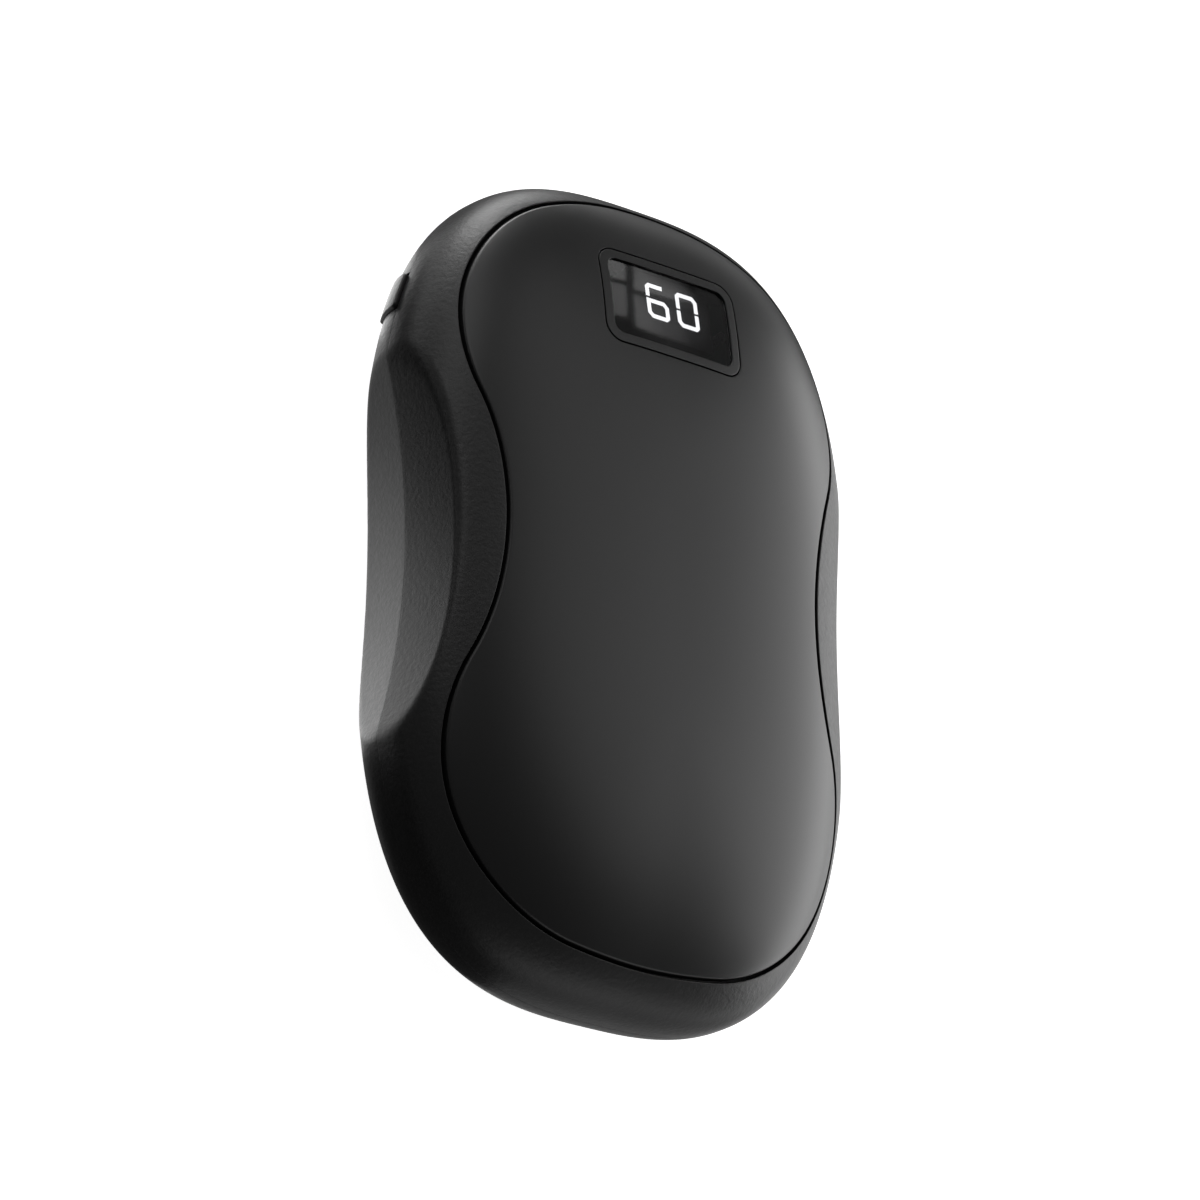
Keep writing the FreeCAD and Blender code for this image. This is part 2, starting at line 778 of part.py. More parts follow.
def make_display():
    """Bezel, lens, module with its digits, board, screws and ribbon."""
    blank = common("bezel_blank", window_prism("bezel_prism", "bezel_groove", "window_corner - bezel_groove"),
                   front_outer)
    glass_inset = "bezel_groove + bezel_width"
    opening = window_prism("bezel_opening", glass_inset, "bezel_corner")
    bezel = cut("bezel_ring", blank, panel_floor, opening)
    doc.recompute()
    rim = edges_on(bezel.Shape, on_front)
    keep("display_bezel", rounded("bezel_rounded", bezel, rim, size("bezel_edge_round")))
    lens_blank = window_prism("lens_prism", f"{glass_inset} + lens_gap", "bezel_corner - lens_gap")
    lens = common("lens_blank", lens_blank, form("lens_top", True, size("lens_recess")))
    keep("display_lens", cut("lens_plate", lens, panel_floor))
    module = plate("module_block", "module_width", "module_length", "module_height", "module_corner")
    keep("display_module", on_display(module, module_centre.x, module_centre.y, display_board_top))
    keep("lit_segments", segments("lit", {-0.5: "acdefg", 0.5: "abcdef"}))
    keep("dark_segments", segments("dark", {-0.5: "b", 0.5: "g"}))
    board = plate("display_board_blank", "display_board_width", "display_board_length",
                  "display_board_thickness", "module_corner")
    board_base = display_board_top - size("display_board_thickness")
    on_display(board, z=board_base)
    holes = []
    screws = []
    for side in (-1, 1):
        spread = side * size("display_post_spread")
        hole = doc.addObject("Part::Cylinder", f"display_hole_{side + 1}")
        bind(hole, Radius="display_screw_radius + hole_gap", Height="display_board_thickness + 2 * overrun")
        holes.append(on_display(hole, x=spread, z=board_base - size("overrun")))
        shank = doc.addObject("Part::Cylinder", f"display_shank_{side + 1}")
        bind(shank, Radius="display_screw_radius", Height="display_screw_length")
        on_display(shank, x=spread, z=board_base)
        head = doc.addObject("Part::Cylinder", f"display_head_{side + 1}")
        bind(head, Radius="display_screw_head_radius", Height="display_screw_head_height")
        on_display(head, x=spread, z=board_base - size("display_screw_head_height"))
        screws.append(joined(f"display_screw_{side + 1}", [shank, head]))
    keep("display_board", cut("display_board_cut", board, *holes))
    keep("display_screws", group("display_screw_group", screws))
    make_ribbon(board_base)


def make_ribbon(board_base):
    """Flat ribbon that stands between the main board and the underside of the display board."""
    foot = Vector(0, -size("ribbon_place"), board_base)
    under = display_frame.multVec(foot)
    ribbon = doc.addObject("Part::Box", "ribbon_strip")
    bind(ribbon, Length="ribbon_width", Width="ribbon_thickness")
    base = parting - size("board_drop")
    fall = size("ribbon_thickness") * abs(math.tan(math.radians(display_tilt)))
    ribbon.Height = under.z - base - fall
    ribbon.Placement = Placement(Vector(-size("ribbon_width") / 2.0, under.y, base), Rotation())
    keep("display_ribbon", ribbon)


def segments(name, digits):
    """Bars of some of the seven segments, for digits given by their place in the pair."""
    column = (size("digit_width") - size("segment_width")) / 2.0
    line = (size("digit_height") - size("segment_width")) / 2.0
    flat = "digit_width - segment_width - 2 * segment_break"
    tall = "(digit_height - segment_width) / 2 - 2 * segment_break"
    places = {
        "a": (0.0, line, flat, "segment_width"),
        "b": (column, line / 2.0, "segment_width", tall),
        "c": (column, -line / 2.0, "segment_width", tall),
        "d": (0.0, -line, flat, "segment_width"),
        "e": (-column, -line / 2.0, "segment_width", tall),
        "f": (-column, line / 2.0, "segment_width", tall),
        "g": (0.0, 0.0, flat, "segment_width"),
    }
    bars = []
    for place, letters in digits.items():
        for letter in letters:
            x, y, wide, long = places[letter]
            bar = plate(f"{name}_{len(bars)}", wide, long, "segment_thickness", "segment_corner")
            shift = module_centre.x + place * size("digit_pitch")
            bars.append(on_display(bar, x + shift, y + module_centre.y, module_top))
    return group(name + "_bars", bars)


def make_rear_shell():
    """Lower shell: back, button hole, socket slot, screw bosses, board posts and the locating lip."""
    block = scoop_rounded("rear_block", scooped("rear_scooped", rear_outer, False))
    posts = cylinders("rear_boss", SHELL_SCREWS, "shell_boss_radius", f"{PARTING} + overrun", "0")
    posts += cylinders("board_post", BOARD_SCREWS, "board_post_radius", BOARD_BASE, "0")
    # The posts are what the cavity leaves standing
    hollow = cut("rear_hollow", rear_cavity, group("rear_post_set", posts))
    hull = cut("rear_hull", block, hollow)
    lip = lip_ring("lip", lip_inset, size("wall") - size("fit_gap"), "lip_height")
    body = joined("rear_body", [hull, lip])
    # Above the button the wall and the lip are open up to the front shell
    gate_height = "board_drop - button_rise + lip_height + overrun"
    notch = plate("button_gate", "button_length + 2 * button_gap", gate_height,
                  "wall + board_drop + overrun", "button_corner")
    rise = (size("board_drop") - size("button_rise") + size("lip_height") + size("overrun")) / 2.0
    gate = button_frame.multiply(Placement(Vector(0, rise, -size("wall") - size("board_drop")), Rotation()))
    body = cut("rear_gated", body, placed(notch, gate))
    bores = cylinders("shell_pilot", SHELL_SCREWS, "shell_screw_radius + fit_gap", "shell_screw_length",
                      f"{PARTING} + shell_boss_web - shell_screw_length - fit_gap")
    bores += cylinders("board_pilot", BOARD_SCREWS, "board_screw_radius + fit_gap", "board_screw_length",
                       f"{BOARD_TOP} - board_screw_length - fit_gap")
    hole = plate("button_hole", "button_length + 2 * button_gap", "button_width + 2 * button_gap",
                 "wall + board_drop + overrun", "button_corner + button_gap")
    bores.append(on_button(hole, -size("wall") - size("board_drop")))
    slot = plate("usb_slot", "usb_width + 2 * hole_gap", "usb_height + 2 * hole_gap",
                 "usb_depth + usb_setback", "usb_corner + hole_gap")
    slot.Placement = Placement(Vector(), SOCKET_TURN)
    bores.append(put(slot, y="half_length - usb_depth", z=SOCKET_HEIGHT))
    keep("rear_shell", cut("rear_bored", body, group("rear_bores", bores)))


# The socket's plates are drawn lying and turned to face the display end
SOCKET_TURN = Rotation(Vector(1, 0, 0), -90)


def make_socket():
    """Charging receptacle on the main board's edge, with its tongue."""
    mouth = "half_length - usb_setback"
    blank = plate("usb_blank", "usb_width", "usb_height", "usb_depth", "usb_corner")
    blank.Placement = Placement(Vector(), SOCKET_TURN)
    put(blank, y=f"{mouth} - usb_depth", z=SOCKET_HEIGHT)
    hollow = plate("usb_hollow", "usb_width - 2 * usb_skin", "usb_height - 2 * usb_skin", "usb_depth",
                   "usb_corner - usb_skin")
    hollow.Placement = Placement(Vector(), SOCKET_TURN)
    put(hollow, y=f"{mouth} - usb_depth + usb_skin", z=SOCKET_HEIGHT)
    keep("usb_receptacle", cut("usb_can", blank, hollow))
    tongue = box("usb_tongue_bar", "usb_tongue_width", "usb_tongue_length", "usb_tongue_height",
                 y=f"{mouth} - usb_depth + usb_skin + usb_tongue_length / 2",
                 z=f"{SOCKET_HEIGHT} - usb_tongue_height / 2")
    keep("usb_tongue", tongue)


def make_main_board():
    """Board that follows the rear shell's end, notched round the bosses and the button."""
    slab = box("board_slab", "2 * half_width", "board_reach", "board_thickness",
               y="half_length - board_reach / 2", z=BOARD_BASE)
    outline = form("board_outline", False, size("wall") + size("board_edge_gap"))
    blank = common("board_blank", slab, scooped("board_scooped", outline, False, "wall + board_edge_gap"))
    notches = cylinders("board_notch", [place for place in SHELL_SCREWS if not place[1].startswith("-")],
                        "shell_boss_radius + board_edge_gap", "board_thickness + 2 * overrun",
                        f"{BOARD_BASE} - overrun")
    notches += cylinders("board_hole", BOARD_SCREWS, "board_screw_radius + hole_gap",
                         "board_thickness + 2 * overrun", f"{BOARD_BASE} - overrun")
    clear = plate("button_notch", "button_length + 2 * (button_flange_rim + button_travel)",
                  "2 * (button_rise + board_thickness + overrun)", "wall + board_drop",
                  "button_corner / 2")
    notches.append(on_button(clear, flange_back - size("overrun") - 2.0 * size("button_travel")))
    keep("main_board", cut("board_cut", blank, *notches))
    screws = []
    for number, (x, y) in enumerate(BOARD_SCREWS):
        shank = cylinder(f"board_shank_{number}", "board_screw_radius", "board_screw_length", x, y,
                         f"{BOARD_TOP} - board_screw_length")
        head = cylinder(f"board_head_{number}", "board_screw_head_radius", "board_screw_head_height",
                        x, y, BOARD_TOP)
        screws.append(joined(f"board_screw_{number}", [shank, head]))
    keep("board_screws", group("board_screw_group", screws))


def make_board_parts():
    """Chips, inductor, capacitors and battery plug on the main board."""
    chips = []
    for side in (-1, 1):
        chip = plate(f"chip_{side + 1}", "chip_width", "chip_width", "chip_height", "chip_corner")
        chips.append(put(chip, f"{side} * chip_spread", "half_length - chip_inset", BOARD_TOP))
    keep("control_chips", group("chip_group", chips))
    inductor = plate("inductor_block", "inductor_width", "inductor_width", "inductor_height",
                     "inductor_corner")
    keep("power_inductor", put(inductor, "inductor_side", "half_length - inductor_inset", BOARD_TOP))
    capacitors = []
    for number in range(3):
        capacitor = plate(f"capacitor_{number}", "capacitor_width", "capacitor_length", "capacitor_height",
                          "capacitor_corner")
        place = f"-1 * (capacitor_side + {number} * capacitor_pitch)"
        capacitors.append(put(capacitor, place, "half_length - capacitor_inset", BOARD_TOP))
    keep("filter_capacitors", group("capacitor_group", capacitors))
    plug = plate("plug_block", "plug_width", "plug_length", "plug_height", "plug_corner")
    plug_y = f"{CELL_END} + guard_board_thickness + plug_stand_off + plug_length / 2"
    keep("battery_plug", put(plug, "plug_side", plug_y, BOARD_TOP))


def proud_of_wall(point):
    """Whether a point lies on the part of the button that stands out of the wall."""
    return button_frame.inverse().multVec(point).z > size("button_proud") / 4.0


def make_button():
    """Button cap with its flange and nub, and the switch that it presses."""
    cap = plate("cap_prism", "button_length", "button_width", "wall + button_proud + 2 * overrun",
                "button_corner")
    on_button(cap, flange_face - size("button_flange_thickness") / 2.0)
    cap = common("cap", cap, form("cap_face", False, -size("button_proud")))
    flange_blank = plate("flange_prism", "button_length + 2 * button_flange_rim",
                         "button_width + 2 * button_flange_rim", "wall + board_drop",
                         "button_corner + button_flange_rim")
    on_button(flange_blank, flange_back - size("overrun"))
    flange_front = form("flange_front", False, -flange_face)
    flange_skin = cut("flange_skin", flange_front, form("flange_rear", False, -flange_back))
    flange = common("flange", flange_blank, flange_skin)
    nub = button_cylinder("nub", "button_nub_radius", "button_nub_length + button_flange_thickness / 2",
                          nub_end)
    body = joined("button_body", [cap, flange, nub])
    doc.recompute()
    rim = edges_on(body.Shape, proud_of_wall)
    keep("power_button", rounded("button_rounded", body, rim, size("button_round")))
    keep("switch_plunger", button_cylinder("plunger", "plunger_radius", "plunger_reach + plunger_root",
                                           switch_face - size("plunger_root")))
    block = plate("switch_block", "switch_width", "2 * button_rise", "switch_depth", "switch_corner")
    on_button(block, switch_face - size("switch_depth"))
    bore_depth = "plunger_root + button_travel + switch_bore_slack"
    bore_floor = switch_face - size("plunger_root") - size("button_travel") - size("switch_bore_slack")
    bore = button_cylinder("switch_bore", "plunger_radius + plunger_gap", f"{bore_depth} + overrun",
                           bore_floor)
    keep("switch_body", cut("switch_case", block, bore))


def make_battery():
    """Cell with its protection board and the leads to the main board."""
    cell = plate("cell_block", "cell_width", CELL_LENGTH, "cell_height", "cell_corner")
    keep("battery_cell", put(cell, y=CELL_PLACE, z="cell_base"))
    guard = box("guard_board", "guard_board_width", "guard_board_thickness", "guard_board_height",
                y=f"{CELL_END} + guard_board_thickness / 2",
                z="cell_base + (cell_height - guard_board_height) / 2")
    keep("battery_guard_board", guard)
    leads = []
    for side in (-1, 1):
        lead = doc.addObject("Part::Cylinder", f"battery_lead_{side + 1}")
        bind(lead, Radius="lead_radius", Height="plug_stand_off")
        lead.Placement = Placement(Vector(), SOCKET_TURN)
        put(lead, f"plug_side + {side} * lead_spread", f"{CELL_END} + guard_board_thickness",
            f"{BOARD_TOP} + plug_height / 2")
        leads.append(lead)
    keep("battery_leads", group("battery_lead_group", leads))


def make_heaters():
    """Heater films under the panel and on the back, their leads, the pads and the thermistor."""
    film = film_prism("front_film_prism", "front_film", "0", PARTING)
    blank = common("front_film_blank", film, seat_floor)
    keep("front_heater_film", cut("front_film_sheet", blank, form("front_film_under", True, film_inset)))
    rear_film_inset = size("wall") + size("bond_gap")
    rear_film_top = rear_film_inset + size("film_thickness")
    rear_blank = common("rear_film_blank", film_prism("rear_film_prism", "rear_film", "0", "0"),
                        form("rear_film_under", False, rear_film_inset))
    keep("rear_heater_film", cut("rear_film_sheet", rear_blank, form("rear_film_top", False, rear_film_top)))
    film_depth = "(back_depth - wall - bond_gap - film_thickness)"
    film_level = f"({PARTING} - {film_depth} * (1 - land_depth / back_depth))"
    places = [(f"{side} * lead_spread", LEAD_PLACE) for side in (-1, 1)]
    rear_leads = cylinders("rear_lead", places, "lead_radius", f"{BOARD_BASE} - {film_level}", film_level)
    keep("rear_heater_leads", group("rear_lead_group", rear_leads))
    board_top = parting - size("board_drop")
    lead_far = size("lead_spread") + size("lead_radius")
    lead_end = size("half_length") - size("lead_inset") + size("lead_radius")
    lead_roof = front_height(lead_far, lead_end, film_inset)
    front_leads = cylinders("front_lead", places, "lead_radius", str(lead_roof - board_top), BOARD_TOP)
    keep("front_heater_leads", group("front_lead_group", front_leads))
    bead = doc.addObject("Part::Cylinder", "thermistor_bead")
    bind(bead, Radius="thermistor_radius", Height="thermistor_length")
    bead.Placement = Placement(Vector(), SOCKET_TURN)
    keep("thermistor", put(bead, "thermistor_side", LEAD_PLACE, f"{film_level} + thermistor_radius"))
    make_pads(rear_film_top + size("bond_gap"))


def make_pads(rear_inset):
    """Insulation pads that hold the cell between the two shells."""
    wide = "cell_width - 2 * pad_margin"
    long = f"{CELL_LENGTH} - 2 * pad_margin"
    rear = plate("rear_pad_prism", wide, long, "cell_base", "pad_corner")
    put(rear, y=CELL_PLACE)
    keep("rear_insulation_pad", common("rear_pad", rear, form("rear_pad_under", False, rear_inset)))
    front = plate("front_pad_prism", wide, long, "front_depth", "pad_corner")
    put(front, y=CELL_PLACE, z=CELL_TOP)
    roof = panel_under + size("front_floor") + size("bond_gap")
    keep("front_insulation_pad", common("front_pad", front, form("front_pad_roof", True, size("wall"), roof)))


def make_shell_screws():
    """Screws that clamp the shells, with their heads deep in the front shell's bosses."""
    screws = []
    seat = f"({PARTING} + shell_boss_web)"
    for number, (x, y) in enumerate(SHELL_SCREWS):
        shank = cylinder(f"shell_shank_{number}", "shell_screw_radius", "shell_screw_length", x, y,
                         f"{seat} - shell_screw_length")
        head = cylinder(f"shell_head_{number}", "shell_screw_head_radius", "shell_screw_head_height",
                        x, y, seat)
        screws.append(joined(f"shell_screw_{number}", [shank, head]))
    keep("shell_screws", group("shell_screw_group", screws))


make_rear_shell()
make_front_shell()
make_front_panel()
make_display()
make_socket()
make_main_board()
make_board_parts()
make_button()
make_battery()
make_heaters()
make_shell_screws()
doc.recompute()

# Nothing is written unless every object and every sub-part is sound
for thing in doc.Objects:
    if "Invalid" in thing.State or "Error" in thing.State:
        raise RuntimeError(f"{thing.Name} failed: {thing.State}")
for label, thing in PARTS.items():
    if thing.Shape.isNull() or not thing.Shape.isValid() or not thing.Shape.Solids:
        raise RuntimeError(f"{label} has no sound shape")

os.makedirs("parts", exist_ok=True)
for label, thing in PARTS.items():
    thing.Shape.exportStep(os.path.join("parts", label + ".step"))
    print(label, len(thing.Shape.Solids), round(thing.Shape.Volume, 2))
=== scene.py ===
"""Rechargeable hand warmer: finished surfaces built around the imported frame."""

import json
import logging
import math
from collections.abc import Callable, Sequence
from dataclasses import dataclass
from enum import Enum

import bmesh
import bpy
import numpy as np
from mathutils import Matrix, Vector


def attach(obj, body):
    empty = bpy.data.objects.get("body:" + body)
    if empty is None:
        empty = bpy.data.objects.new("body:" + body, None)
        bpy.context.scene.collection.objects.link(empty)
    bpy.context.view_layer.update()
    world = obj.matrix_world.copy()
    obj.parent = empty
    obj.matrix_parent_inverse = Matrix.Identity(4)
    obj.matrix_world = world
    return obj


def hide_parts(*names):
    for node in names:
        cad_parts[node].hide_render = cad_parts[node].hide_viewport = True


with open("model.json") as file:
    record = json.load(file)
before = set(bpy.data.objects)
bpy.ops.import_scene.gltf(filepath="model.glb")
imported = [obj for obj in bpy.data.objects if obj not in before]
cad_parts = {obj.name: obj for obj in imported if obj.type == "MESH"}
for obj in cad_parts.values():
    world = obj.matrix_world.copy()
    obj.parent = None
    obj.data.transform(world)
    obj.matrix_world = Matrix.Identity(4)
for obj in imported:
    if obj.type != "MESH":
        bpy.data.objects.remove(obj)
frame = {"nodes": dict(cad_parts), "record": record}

LOG = logging.getLogger("hand_warmer")
Array = np.ndarray
Point = tuple[float, float, float]
Outline = Callable[[float], Array]
Strokes = list[tuple[Array, bool]]
Inputs = dict[str | int, object]
Piece = bpy.types.Object
Material = bpy.types.Material
Tree = bpy.types.NodeTree
Socket = bpy.types.NodeSocket

MM = 0.001
PER_METRE = 1000.0
HOUSING = "housing"
BUTTON_BODY = "power_button"
TURN = 2.0 * math.pi
QUARTER = math.pi / 2.0
FAR = 1.0e3
TINY = 1.0e-6
WELD = 1.0e-8
HALVINGS = 36
ROUND_ROWS = 6
SHARP = math.radians(38.0)


def halved(low: Array, high: Array, within: Callable[[Array], Array]) -> Array:
    """Largest values that pass a test, found by halving.

    Args:
        low: Values that pass.
        high: Values that fail.
        within: The test.

    Returns:
        The values.
    """
    for _ in range(HALVINGS):
        middle = (low + high) / 2.0
        passed = within(middle)
        low = np.where(passed, middle, low)
        high = np.where(passed, high, middle)
    return low


class Side(Enum):
    """Which half of the body a surface belongs to; the value is its way along Z."""

    FRONT = 1.0
    BACK = -1.0


@dataclass(frozen=True)
class Pebble:
    """The body's main form, in millimetres."""

    half_width: float = 33.4
    half_length: float = 49.993
    front_depth: float = 13.57
    back_depth: float = 13.6
    land_depth: float = 0.5
    outline_power: float = 2.9
    front_power: float = 2.5
    back_power: float = 2.25
    end_draw: float = 0.75
    wall: float = 2.2
    front_floor: float = 1.6
    scoop_depth: float = 4.6
    scoop_radius: float = 79.0
    scoop_shift: float = 0.5
    scoop_draft: float = 4.3
    rim_crisp: float = 0.5
    rim_soft: float = 1.25
    rim_start: float = -16.0
    rim_end: float = 6.0
    rim_rise: float = 3.0

    @property
    def parting(self) -> float:
        """Height of the plane where the two shells meet."""
        return self.back_depth - self.land_depth

    @property
    def land_share(self) -> float:
        """Share of the back's depth at which the flat land cuts it off."""
        return 1.0 - self.land_depth / self.back_depth

    def depth(self, side: Side) -> float:
        """Depth of one half, from the parting plane."""
        return self.front_depth if side is Side.FRONT else self.back_depth

    def shares(self, share: Array, side: Side) -> tuple[Array, Array]:
        """Width and length of a section, as shares of the full ones.

        Args:
            share: Height of the section as a share of the half's depth.
            side: Which half the section belongs to.

        Returns:
            The shares of the width and of the length.
        """
        power = self.front_power if side is Side.FRONT else self.back_power
        across = np.maximum(1.0 - np.clip(share, 0.0, 1.0) ** power, 0.0) ** (1.0 / power)
        return across, 1.0 - (1.0 - across) * self.end_draw

    def radius(self, angle: Array, share: Array, side: Side, inset: float = 0.0) -> Array:
        """Distance from the axis to the plain form, before the scoops.

        Args:
            angle: Direction round the axis.
            share: Height as a share of the half's depth.
            side: Which half.
            inset: How far the form is drawn in at its sides.

        Returns:
            The distance in the section's plane.
        """
        across, along = self.shares(share, side)
        wide = np.maximum((self.half_width - inset) * across, TINY)
        long = (self.half_length - inset) * along
        power = self.outline_power
        reach = (np.abs(np.cos(angle)) / wide) ** power + (np.abs(np.sin(angle)) / long) ** power
        return reach ** (-1.0 / power)

    def scoop_limit(self, angle: Array, height: Array, inset: float = 0.0) -> Array:
        """Distance from the axis to the nearer finger scoop.

        Args:
            angle: Direction round the axis.
            height: Height above the floor.
            inset: How far the scoop's wall is drawn in.

        Returns:
            The distance, or a far one where the direction misses the scoop.
        """
        axis = self.half_width - self.scoop_depth + self.scoop_radius
        growth = np.abs(height - self.parting) * math.tan(math.radians(self.scoop_draft))
        ahead = axis * np.abs(np.cos(angle)) + self.scoop_shift * np.sin(angle)
        reach = self.scoop_radius + inset + growth
        inside = reach ** 2 - axis ** 2 - self.scoop_shift ** 2 + ahead ** 2
        near = ahead - np.sqrt(np.maximum(inside, 0.0))
        return np.where(inside > 0.0, near, FAR)

    def skin(self, angle: Array, height: Array, side: Side, inset: float = 0.0) -> Array:
        """Distance from the axis to the body, scoops included, with their rims rounded.

        Args:
            angle: Direction round the axis.
            height: Height above the floor.
            side: Which half.
            inset: How far the surface is drawn in.

        Returns:
            The distance in the plane of that height.
        """
        share = np.abs(height - self.parting) / (self.depth(side) - inset)
        plain = self.radius(angle, share, side, inset)
        scoop = self.scoop_limit(angle, height, inset)
        nearer = np.minimum(plain, scoop)
        blend = self.rim_crisp
        if side is Side.FRONT:
            past = nearer * np.sin(angle) - self.rim_start
            up = np.clip(past / (self.rim_end - self.rim_start), 0.0, 1.0)
            over = np.clip((height - self.parting) / self.rim_rise, 0.0, 1.0)
            blend = blend + (self.rim_soft - blend) * up ** 2 * (3.0 - 2.0 * up) * over
        # A smooth minimum takes the sharp edge off the rim where the two surfaces cross
        near = np.maximum(blend - np.abs(plain - scoop), 0.0) / blend
        return nearer - near ** 2 * blend / 4.0

    def front_height(self, x: Array, y: Array, inset: float = 0.0) -> Array:
        """Height above points of the floor of the front surface, or of one drawn in by an inset."""
        share = self.share_at(np.arctan2(y, x), np.hypot(x, y), Side.FRONT, inset)
        return self.parting + (self.front_depth - inset) * share

    def share_at(self, angle: Array, radius: Array, side: Side, inset: float = 0.0) -> Array:
        """Height share at which the plain form has narrowed to a radius.

        Args:
            angle: Directions round the axis.
            radius: The radius wanted in each direction.
            side: Which half.
            inset: How far the form is drawn in.

        Returns:
            The shares of the half's depth.
        """
        return halved(
            np.zeros_like(angle),
            np.ones_like(angle),
            lambda share: self.radius(angle, share, side, inset) > radius,
        )


PEBBLE = Pebble()


def arc_points(centre: Array, start: Array, end: Array, count: int, clockwise: bool) -> Array:
    """Points along an arc, without its last one.

    Args:
        centre: Centre of the arc.
        start: First point.
        end: Last point.
        count: How many points.
        clockwise: Which way the arc runs.

    Returns:
        The points as rows of x and y.
    """
    first = math.atan2(*(start - centre)[::-1])
    last = math.atan2(*(end - centre)[::-1])
    if clockwise and last > first:
        last -= TURN
    if not clockwise and last < first:
        last += TURN
    angle = np.linspace(first, last, count, endpoint=False)
    radius = np.linalg.norm(start - centre)
    return centre + radius * np.stack([np.cos(angle), np.sin(angle)], axis=1)


@dataclass(frozen=True)
class PanelOutline:
    """Waisted outline of the heat panel, of tangent arcs."""

    waist_inset: float = 10.45
    waist_place: float = 2.5
    waist_radius: float = 38.5
    top_inset: float = 2.3
    top_radius: float = 39.3
    top_corner: float = 20.6
    bottom_inset: float = 4.4
    bottom_radius: float = 65.0
    bottom_corner: float = 21.9
    end_count: int = 60
    corner_count: int = 90
    waist_count: int = 100

    def lobe(
        self, waist: Array, waist_radius: float, radius: float, corner: float, reach: float, up: float
    ) -> list[Array]:
        """Centres and joins of one end's right half.

        Args:
            waist: Centre of the waist's arc.
            waist_radius: Its radius.
            radius: Radius of the end's arc.
            corner: Radius of the corner's arc.
            reach: Distance of the end from the middle.
            up: 1 for the display end and -1 for the other.

        Returns:
            End centre, end point, corner centre, join with the end and join with the waist.
        """
        end = np.array([0.0, up * (reach - radius)])
        span = waist - end
        apart = np.linalg.norm(span)
        ahead = span / apart
        from_end = radius - corner
        along = (from_end ** 2 - (waist_radius + corner) ** 2 + apart ** 2) / (2.0 * apart)
        aside = math.sqrt(from_end ** 2 - along ** 2)
        centre = end + ahead * along + np.array([-ahead[1], ahead[0]]) * up * aside
        start = end + (centre - end) / from_end * radius
        join = centre + (waist - centre) / (waist_radius + corner) * corner
        return [end, np.array([0.0, up * reach]), centre, start, join]

    def points(self, inset: float = 0.0) -> Array:
        """Points round the outline, from the middle of the display end, clockwise.

        Args:
            inset: How far the outline is drawn in.

        Returns:
            The points as rows of x and y.
        """
        half_width = PEBBLE.half_width - self.waist_inset - inset
        waist_radius = self.waist_radius + inset
        waist = np.array([half_width + waist_radius, self.waist_place])
        length = PEBBLE.half_length - inset
        ends = (
            (self.top_radius - inset, self.top_corner - inset, length - self.top_inset, 1.0),
            (self.bottom_radius - inset, self.bottom_corner - inset, length - self.bottom_inset, -1.0),
        )
        top, low = (self.lobe(waist, waist_radius, *end) for end in ends)
        top_end, top_tip, top_corner, top_start, top_join = top
        low_end, low_tip, low_corner, low_start, low_join = low
        right = [
            arc_points(top_end, top_tip, top_start, self.end_count, True),
            arc_points(top_corner, top_start, top_join, self.corner_count, True),
            arc_points(waist, top_join, low_join, self.waist_count, False),
            arc_points(low_corner, low_join, low_start, self.corner_count, True),
            arc_points(low_end, low_start, low_tip, self.end_count, True),
        ]
        half = np.concatenate(right)
        other = np.concatenate([low_tip[None], half[:0:-1]])
        return np.concatenate([half, other * np.array([-1.0, 1.0])])

    def radius(self, angle: Array) -> Array:
        """Distance from the middle to the outline.

        Args:
            angle: Directions from the middle.

        Returns:
            The distances.
        """
        points = self.points()
        turn = np.arctan2(points[:, 1], points[:, 0])
        return np.interp(angle, turn, np.hypot(points[:, 0], points[:, 1]), period=TURN)


PANEL_OUTLINE = PanelOutline()


@dataclass(frozen=True)
class RoundedFrame:
    """A rectangle with rounded corners about a centre."""

    half_x: float
    half_y: float
    corner: float
    centre_x: float = 0.0
    centre_y: float = 0.0
    corner_count: int = 14
    side_count: int = 30

    def points(self, inset: float = 0.0) -> Array:
        """Points round the outline, from the right-hand side, anticlockwise.

        Args:
            inset: How far the outline is drawn in.

        Returns:
            The points as rows of x and y.
        """
        corner = max(self.corner - inset, TINY)
        wide = self.half_x - inset - corner
        long = self.half_y - inset - corner
        rows = []
        centres = [(wide, long), (-wide, long), (-wide, -long), (wide, -long)]
        for number, (x, y) in enumerate(centres):
            angle = np.linspace(0.0, QUARTER, self.corner_count) + number * QUARTER
            arc = np.stack([x + corner * np.cos(angle), y + corner * np.sin(angle)], axis=1)
            beyond = np.array(centres[(number + 1) % len(centres)])
            turn = (number + 1) * QUARTER
            following = beyond + corner * np.array([math.cos(turn), math.sin(turn)])
            share = np.linspace(0.0, 1.0, self.side_count, endpoint=False)[1:, None]
            rows += [arc, arc[-1] * (1.0 - share) + following * share]
        return np.concatenate(rows) + np.array([self.centre_x, self.centre_y])

    def at_angles(self, angle: Array, inset: float = 0.0) -> Array:
        """Points of the outline in some directions from its centre.

        Args:
            angle: The directions.
            inset: How far the outline is drawn in.

        Returns:
            The points as rows of x and y.
        """
        points = self.points(inset) - np.array([self.centre_x, self.centre_y])
        turn = np.arctan2(points[:, 1], points[:, 0])
        reach = np.interp(angle, turn, np.hypot(points[:, 0], points[:, 1]), period=TURN)
        ray = np.stack([np.cos(angle), np.sin(angle)], axis=1)
        return ray * reach[:, None] + np.array([self.centre_x, self.centre_y])


def polar(angle: Array, radius: Array, height: Array) -> Array:
    """Points from directions, distances from the axis and heights."""
    across, along, up = np.broadcast_arrays(np.cos(angle) * radius, np.sin(angle) * radius, height)
    return np.stack([across, along, up], axis=-1)


